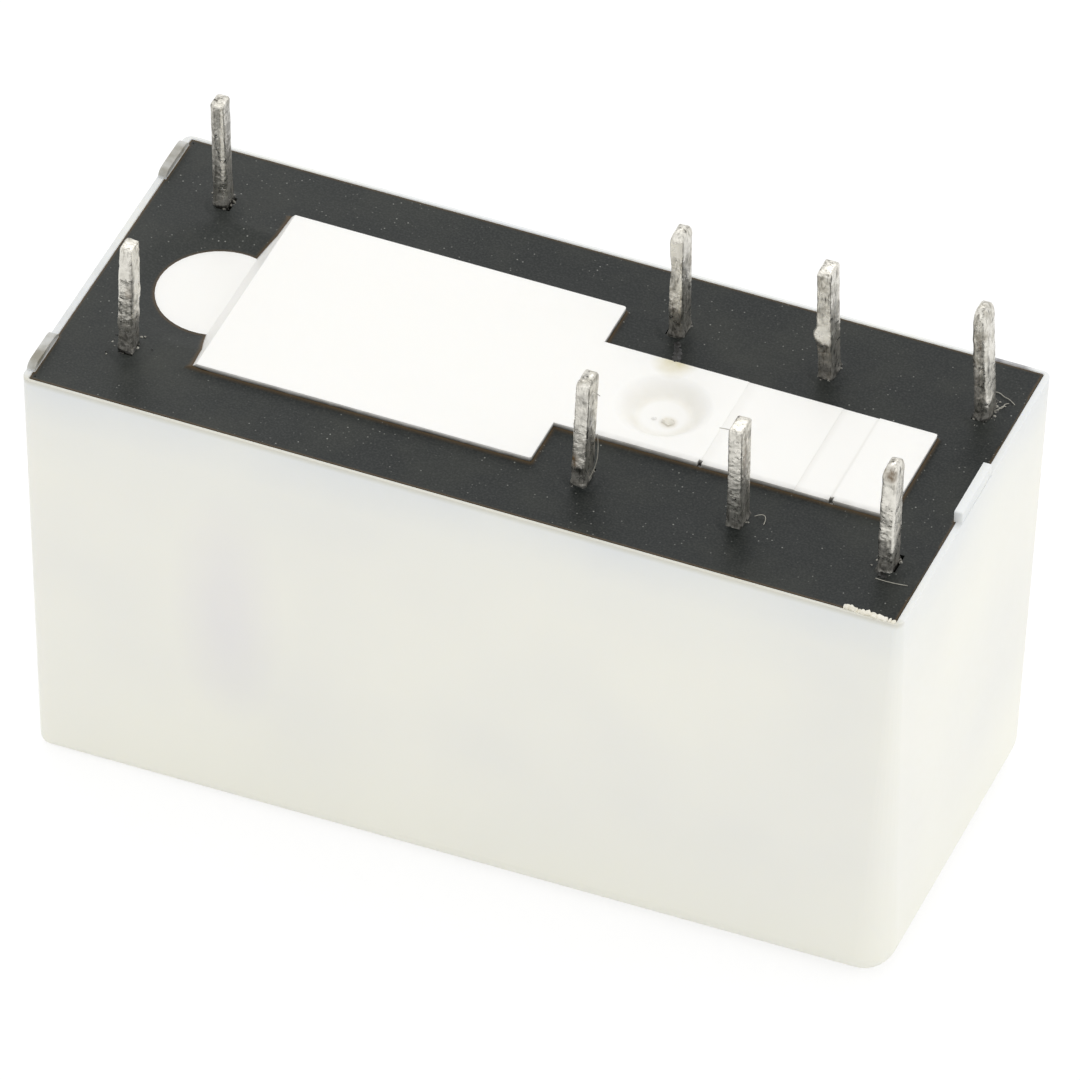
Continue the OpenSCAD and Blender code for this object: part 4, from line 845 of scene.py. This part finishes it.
class RELAY_OT_pins(bpy.types.Operator):
    """Raises the pins ring by ring and works each into a bar with old solder, lumps, stains and painted shade,
    reflection and highlights
    """

    bl_idname = "relay.pins"
    bl_label = "Pins"

    def execute(self, context):
        settings = context.scene.relay_pins
        metal = tinned_strip(settings)
        # The solid is cut off below the potting, and the worked bar starts inside what is left
        low = SEAL_Z - 0.25 * MM
        for name, worn in PINS.items():
            bm = merged_copy(name)
            bmesh.ops.bisect_plane(bm, geom=bm.verts[:] + bm.edges[:] + bm.faces[:], plane_co=(0, 0, low),
                                   plane_no=(0, 0, 1), clear_outer=True)
            bmesh.ops.holes_fill(bm, edges=bm.edges)
            wear = bm.verts.layers.float_color.new("wear")
            for v in bm.verts:
                v[wear] = (0.0, 0.0, 0.0, 1.0)
            made = self.raise_bar(bm, worn, low - 0.1 * MM, settings.rings)
            self.work_skin(made, worn, PIN_AXES[name].to_3d(), settings.ripple, wear)
            finish_piece(name.replace("terminal", "pin"), bm, metal, [name], 50)
        return {"FINISHED"}

    def raise_bar(self, bm, worn, low, rings):
        """Extrudes a rounded oblong upwards and closes its tip. Gives the points made."""
        tip_len, tip_keep = worn["tip"][0] * MM, worn["tip"][1]
        points = self.oblong(worn["size"][0] / 2 * MM, worn["size"][1] / 2 * MM, worn["edge"] * MM)
        ring = bmesh.ops.create_circle(bm, segments=len(points), radius=1.0)["verts"]
        ring.sort(key=lambda v: math.atan2(v.co.y, v.co.x))
        for v, point in zip(ring, points):
            v.co = (point.x, point.y, low)
        made = list(ring)
        edges = [e for e in bm.edges if e.verts[0] in ring and e.verts[1] in ring]
        heights = [low + (TIP_Z - tip_len - low) * k / rings for k in range(1, rings + 1)]
        heights += [TIP_Z - tip_len * math.cos(math.pi / 2 * k / 6) for k in range(1, 7)]
        for z in heights:
            edges, under = grow(bm, edges)
            into = max(0.0, (z - (TIP_Z - tip_len)) / tip_len)
            keep = tip_keep + (1 - tip_keep) * math.sqrt(max(0.0, 1 - into * into))
            for v in under:
                v.co.z = z
                if into > 0:
                    first = self.nearest(v, ring)
                    v.co.x, v.co.y = first.co.x * keep, first.co.y * keep
            made += under
        bmesh.ops.contextual_create(bm, geom=edges)
        bmesh.ops.recalc_face_normals(bm, faces=bm.faces)
        return made

    def work_skin(self, made, worn, axis, ripple_h, wear):
        """Moves a bar's points by ripple, lumps and lean, stands it in its place, and paints its marks."""
        seed = Vector((worn["seed"] * 10, 0.0, 0.0))
        moves = []
        for v in made:
            over = v.co.z - SEAL_Z
            spot = Vector((v.co.x, v.co.y, over)) / MM
            # Ripples of about 0.3 mm, and finer ones of 0.13 mm on them
            ripple = noise.noise(spot * 3.2 + seed) + 0.6 * noise.noise(spot * 7.5 + seed)
            push = ripple_h * worn["rough"] * ripple
            # Solder and potting spread the foot
            foot = math.exp(-max(over, 0.0) / SPREAD_H) * (0.75 + 0.7 * noise.noise(spot * 2.3 + seed))
            push += SPREAD * foot
            for x, y, z, radius, out in worn["lumps"]:
                gap = (spot - Vector((x, y, z))).length / radius
                push += out * MM * math.exp(-gap * gap)
            # First channel: burnt flux up from the foot, and marks of painted shade and reflection; last: clean
            # solder and painted highlights
            marks = [1.6 * math.exp(-max(over, 0.0) / BURNT_H), 0.0, 0.0]
            for channel, x, y, z, radius, stretch, strength in worn["marks"]:
                gap = Vector((spot.x - x, spot.y - y, (spot.z - z) / stretch)).length / radius
                marks[channel] = max(marks[channel], strength * math.exp(-gap ** 3))
            v[wear] = (*marks, 1.0)
            rise = min(1.0, max(0.0, over / (TIP_Z - SEAL_Z)))
            base, tip = worn["lean"]
            lean = Vector((base[0] + (tip[0] - base[0]) * rise, base[1] + (tip[1] - base[1]) * rise, 0.0)) * MM
            moves.append((v, v.co + axis + lean + v.normal * push))
        for v, place in moves:
            v.co = place
            v.co.z = min(v.co.z, TIP_Z)

    def oblong(self, half_x, half_y, edge):
        """Points round an oblong: each corner in three facets, each side in five parts."""
        points = []
        for k, (sx, sy) in enumerate(((1, 1), (-1, 1), (-1, -1), (1, -1))):
            middle = Vector((sx * (half_x - edge), sy * (half_y - edge)))
            for step in range(4):
                turn = math.pi / 2 * (k + step / 3)
                points.append(middle + Vector((math.cos(turn), math.sin(turn))) * edge)
            mirror = Vector((1, -1)) if k % 2 else Vector((-1, 1))
            after = middle * mirror
            last = points[-1]
            points += [last + (after - middle) * part / 5 for part in range(1, 5)]
        return points

    def nearest(self, vert, ring):
        """Point of the first ring that lies below a point of a later one."""
        return min(ring, key=lambda b: (b.co.xy - vert.co.xy).length_squared)


class RELAY_OT_residue(bpy.types.Operator):
    """Scatters what was left on the relay: burnt flux round the pins, lint, and torn flash on the rim"""

    bl_idname = "relay.residue"
    bl_label = "Residue"

    def execute(self, context):
        chance = random.Random(7)
        bm = bmesh.new()
        for name, worn in PINS.items():
            self.scatter(bm, name, worn, chance)
        finish_piece("flux_crumbs", bm, flux_residue("Dried flux crumbs", 0.9))
        bm = bmesh.new()
        for x, y in DRIP:
            size = chance.uniform(0.09, 0.15) * MM
            top = PAD_Z if y < 2.2 else SEAL_Z
            crumb(bm, Vector((x * MM, y * MM, top)), (size, size, size * 0.3), chance.uniform(0, 50))
        for x, y, size in BLOTS:
            crumb(bm, Vector((x * MM, y * MM, SEAL_Z)), (size * MM, size * MM, size * 0.5 * MM), x)
        finish_piece("flux_drip", bm, flux_residue("Burnt flux drip", 0.0))
        bm = bmesh.new()
        for places in THREADS:
            self.thread(bm, [Vector((x * MM, y * MM, SEAL_Z + z * MM)) for x, y, z in places])
        for pin, size, start, sweep, radius in FLUX_RINGS:
            self.thread(bm, self.ring(PIN_AXES[pin], size * MM, start, sweep), radius * MM)
        finish_piece("lint", bm, torn_shreds("Grey lint", "#6B6963", "#D0CCBF"))
        bm = bmesh.new()
        for x, along, high in FLASH:
            place = Vector((x, FLASH_Y - FLASH_DRIFT * (x - FLASH_X), FLASH_Z)) * MM
            crumb(bm, place, (along * MM, FLASH_W * MM, high * MM), x * 9)
        finish_piece("rim_flash", bm, torn_shreds("Torn cream flash", "#DAD3BC", "#FFFDF6"))
        return {"FINISHED"}

    def scatter(self, bm, name, worn, chance):
        """Lays crumbs round a pin's foot, small ones far out and larger ones close in."""
        count, spread = worn["crumbs"]
        foot = PIN_AXES[name] + Vector(worn["lean"][0]) * MM
        near_x, near_y = worn["size"][0] / 2, worn["size"][1] / 2
        for _ in range(count):
            turn = chance.uniform(0.0, math.tau)
            out = chance.uniform(0.0, 1.0)
            x = math.cos(turn) * (near_x + 0.1 + out * out * (spread - near_x + 0.1))
            y = math.sin(turn) * (near_y + 0.1 + out * out * (spread - near_y + 0.1))
            size = chance.uniform(0.04, 0.1) * (1 - 0.6 * out) * MM
            place = foot + Vector((x, y)) * MM
            high = potting_level(place) + 0.4 * size
            crumb(bm, Vector((place.x, place.y, high)), (size, size * 0.8, size * 0.6), chance.uniform(0, 50))

    def ring(self, middle, radius, start, sweep):
        """Places along part of a ring that lies on the potting."""
        turns = [start + sweep * k / 8 for k in range(9)]
        return [Vector((middle.x + radius * math.cos(t), middle.y + radius * math.sin(t), SEAL_Z + 0.015 * MM))
                for t in turns]

    def thread(self, bm, places, radius=0.013 * MM):
        """Draws a thread through places, as a smooth tube."""
        curve = bpy.data.curves.new("thread", "CURVE")
        curve.dimensions = "3D"
        curve.bevel_depth = radius
        curve.bevel_resolution = 1
        curve.resolution_u = 6
        curve.use_fill_caps = True
        spline = curve.splines.new("NURBS")
        spline.points.add(len(places) - 1)
        for point, place in zip(spline.points, places):
            point.co = (*place, 1.0)
        spline.order_u = 3
        spline.use_endpoint_u = True
        carrier = bpy.data.objects.new("thread", curve)
        mesh = bpy.data.meshes.new_from_object(carrier)
        bm.from_mesh(mesh)
        bpy.data.objects.remove(carrier)
        bpy.data.meshes.remove(mesh)
        bpy.data.curves.remove(curve)


class RELAY_OT_inside(bpy.types.Operator):
    """Finishes what the cap hides: coil, magnet, card, springs and contacts"""

    bl_idname = "relay.inside"
    bl_label = "Inside"

    def execute(self, context):
        finishes = {
            "bobbin": inner_plastic("Moulded cream nylon bobbin", "#E4DFCB", "#D3CBB0", 0.45),
            "actuator_card": inner_plastic("Moulded grey acetal card", "#DADAD6", "#C6C6C1", 0.4),
            "coil_winding": enamelled_copper(),
            "core": rolled_metal("Turned soft iron", "#9A9A9C", "#7E7E80", 0.3),
            "armature": rolled_metal("Rolled zinc-plated iron", "#A9A9AA", "#8A8A8C", 0.32),
            "armature_spring": rolled_metal("Rolled spring bronze", "#C79A62", "#A97F4C", 0.28),
            "nc_contact": rolled_metal("Silver alloy contact", "#DEDCD6", "#BDBBB4", 0.25),
            "spring_rivet": rolled_metal("Turned brass rivet", "#CBAA5E", "#A98843", 0.3),
        }
        same = {
            "lead_wire": "coil_winding", "yoke": "armature", "no_contact": "nc_contact",
            "moving_contact": "nc_contact", "moving_spring": "armature_spring",
        }
        for name, node in NODES.items():
            if node.hide_render:
                continue
            kind = name[:-2] if name[-2:] in ("_1", "_2") else name
            finish = finishes[same.get(kind, kind)]
            node.data.materials.clear()
            node.data.materials.append(finish)
        return {"FINISHED"}


class RELAY_OT_stage(bpy.types.Operator):
    """Sets up the pale floor, the soft lamps and the camera of the photo"""

    bl_idname = "relay.stage"
    bl_label = "Stage"

    def execute(self, context):
        settings = context.scene.relay_stage
        scene = context.scene
        scene.view_settings.view_transform = "Standard"
        self.floor()
        self.sky(scene, settings)
        for name, power, place, size in LAMPS:
            self.lamp(name, getattr(settings, power), place, size)
        self.camera(scene)
        return {"FINISHED"}

    def floor(self):
        """Pale floor: it takes the shadow, and its own white fills what the lamps leave."""
        bm = bmesh.new()
        bmesh.ops.create_grid(bm, x_segments=1, y_segments=1, size=0.6)
        mesh = bpy.data.meshes.new("floor")
        bm.to_mesh(mesh)
        bm.free()
        floor = bpy.data.objects.new("floor", mesh)
        bpy.context.scene.collection.objects.link(floor)
        material, tree, shader, _ = blank("Pale paper floor")
        fill(tree, shader, {"Base Color": srgb("#F2F2F0"), "Roughness": 0.9})
        ray = add(tree, "LightPath")
        seen = add(tree, "Math", {0: ray.outputs["Is Camera Ray"], 1: ray.outputs["Is Glossy Ray"]},
                   operation="MAXIMUM")
        shade = add(tree, "BsdfDiffuse", {"Color": (0.3, 0.3, 0.3, 1.0)})
        glow = add(tree, "Emission", {"Color": (1.0, 1.0, 1.0, 1.0), "Strength": 0.75})
        bright = add(tree, "AddShader", {0: shade, 1: glow})
        both = add(tree, "MixShader", {0: seen, 1: shader, 2: bright})
        fill(tree, tree.nodes["Material Output"], {"Surface": both})
        mesh.materials.append(material)

    def sky(self, scene, settings):
        """Even light from all round, seen as white by the camera and in reflections."""
        world = bpy.data.worlds.new("Studio")
        world.use_nodes = True
        tree = world.node_tree
        ray = add(tree, "LightPath")
        seen = add(tree, "Math", {0: ray.outputs["Is Camera Ray"], 1: ray.outputs["Is Glossy Ray"]},
                   operation="MAXIMUM")
        seen = add(tree, "Math", {0: seen, 1: ray.outputs["Is Transmission Ray"]}, operation="MAXIMUM")
        level = add(tree, "MapRange", {0: seen, 3: settings.sky, 4: 1.0})
        fill(tree, tree.nodes["Background"], {"Strength": level, "Color": (1.0, 1.0, 1.0, 1.0)})
        scene.world = world

    def lamp(self, name, power, place, size):
        """Square soft lamp that looks at the relay."""
        light = bpy.data.lights.new(name, "AREA")
        light.energy = power
        light.size = size
        lamp = bpy.data.objects.new(name, light)
        lamp.location = place
        lamp.rotation_euler = (LAMP_AIM - Vector(place)).to_track_quat("-Z", "Y").to_euler()
        bpy.context.scene.collection.objects.link(lamp)

    def camera(self, scene):
        """Camera as the photo's was solved to stand, long lens, no shift."""
        lens = bpy.data.cameras.new("Camera")
        lens.sensor_width = FILM
        lens.lens = LENS
        lens.clip_start = 0.01
        lens.clip_end = 10.0
        eye = bpy.data.objects.new("Camera", lens)
        turn = Matrix((EYE_RIGHT, EYE_UP, EYE_BACK)).transposed().to_4x4()
        eye.matrix_world = Matrix.Translation(EYE) @ turn
        bpy.context.scene.collection.objects.link(eye)
        scene.camera = eye


class VIEW3D_PT_relay(bpy.types.Panel):
    """Lists the relay's pieces and settings"""

    bl_label = "Relay"
    bl_space_type = "VIEW_3D"
    bl_region_type = "UI"
    bl_category = "Relay"

    def draw(self, context):
        layout = self.layout
        for step in STEPS:
            layout.operator(step.bl_idname)
        for group in (context.scene.relay_case, context.scene.relay_pins, context.scene.relay_stage):
            box = layout.box()
            for key in group.bl_rna.properties.keys():
                if key not in ("rna_type", "name"):
                    box.prop(group, key)


STEPS = (RELAY_OT_cap, RELAY_OT_base, RELAY_OT_potting, RELAY_OT_pins, RELAY_OT_residue, RELAY_OT_inside,
         RELAY_OT_stage)
CLASSES = (RelayCaseSettings, RelayPinSettings, RelayStageSettings, *STEPS, VIEW3D_PT_relay)


def register():
    for cls in CLASSES:
        bpy.utils.register_class(cls)
    bpy.types.Scene.relay_case = PointerProperty(type=RelayCaseSettings)
    bpy.types.Scene.relay_pins = PointerProperty(type=RelayPinSettings)
    bpy.types.Scene.relay_stage = PointerProperty(type=RelayStageSettings)


def unregister():
    del bpy.types.Scene.relay_stage
    del bpy.types.Scene.relay_pins
    del bpy.types.Scene.relay_case
    for cls in reversed(CLASSES):
        bpy.utils.unregister_class(cls)


def main():
    """Registers the add-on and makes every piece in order."""
    register()
    bpy.ops.relay.cap()
    bpy.ops.relay.base()
    bpy.ops.relay.potting()
    bpy.ops.relay.pins()
    bpy.ops.relay.residue()
    bpy.ops.relay.inside()
    bpy.ops.relay.stage()


if __name__ == "__main__":
    main()
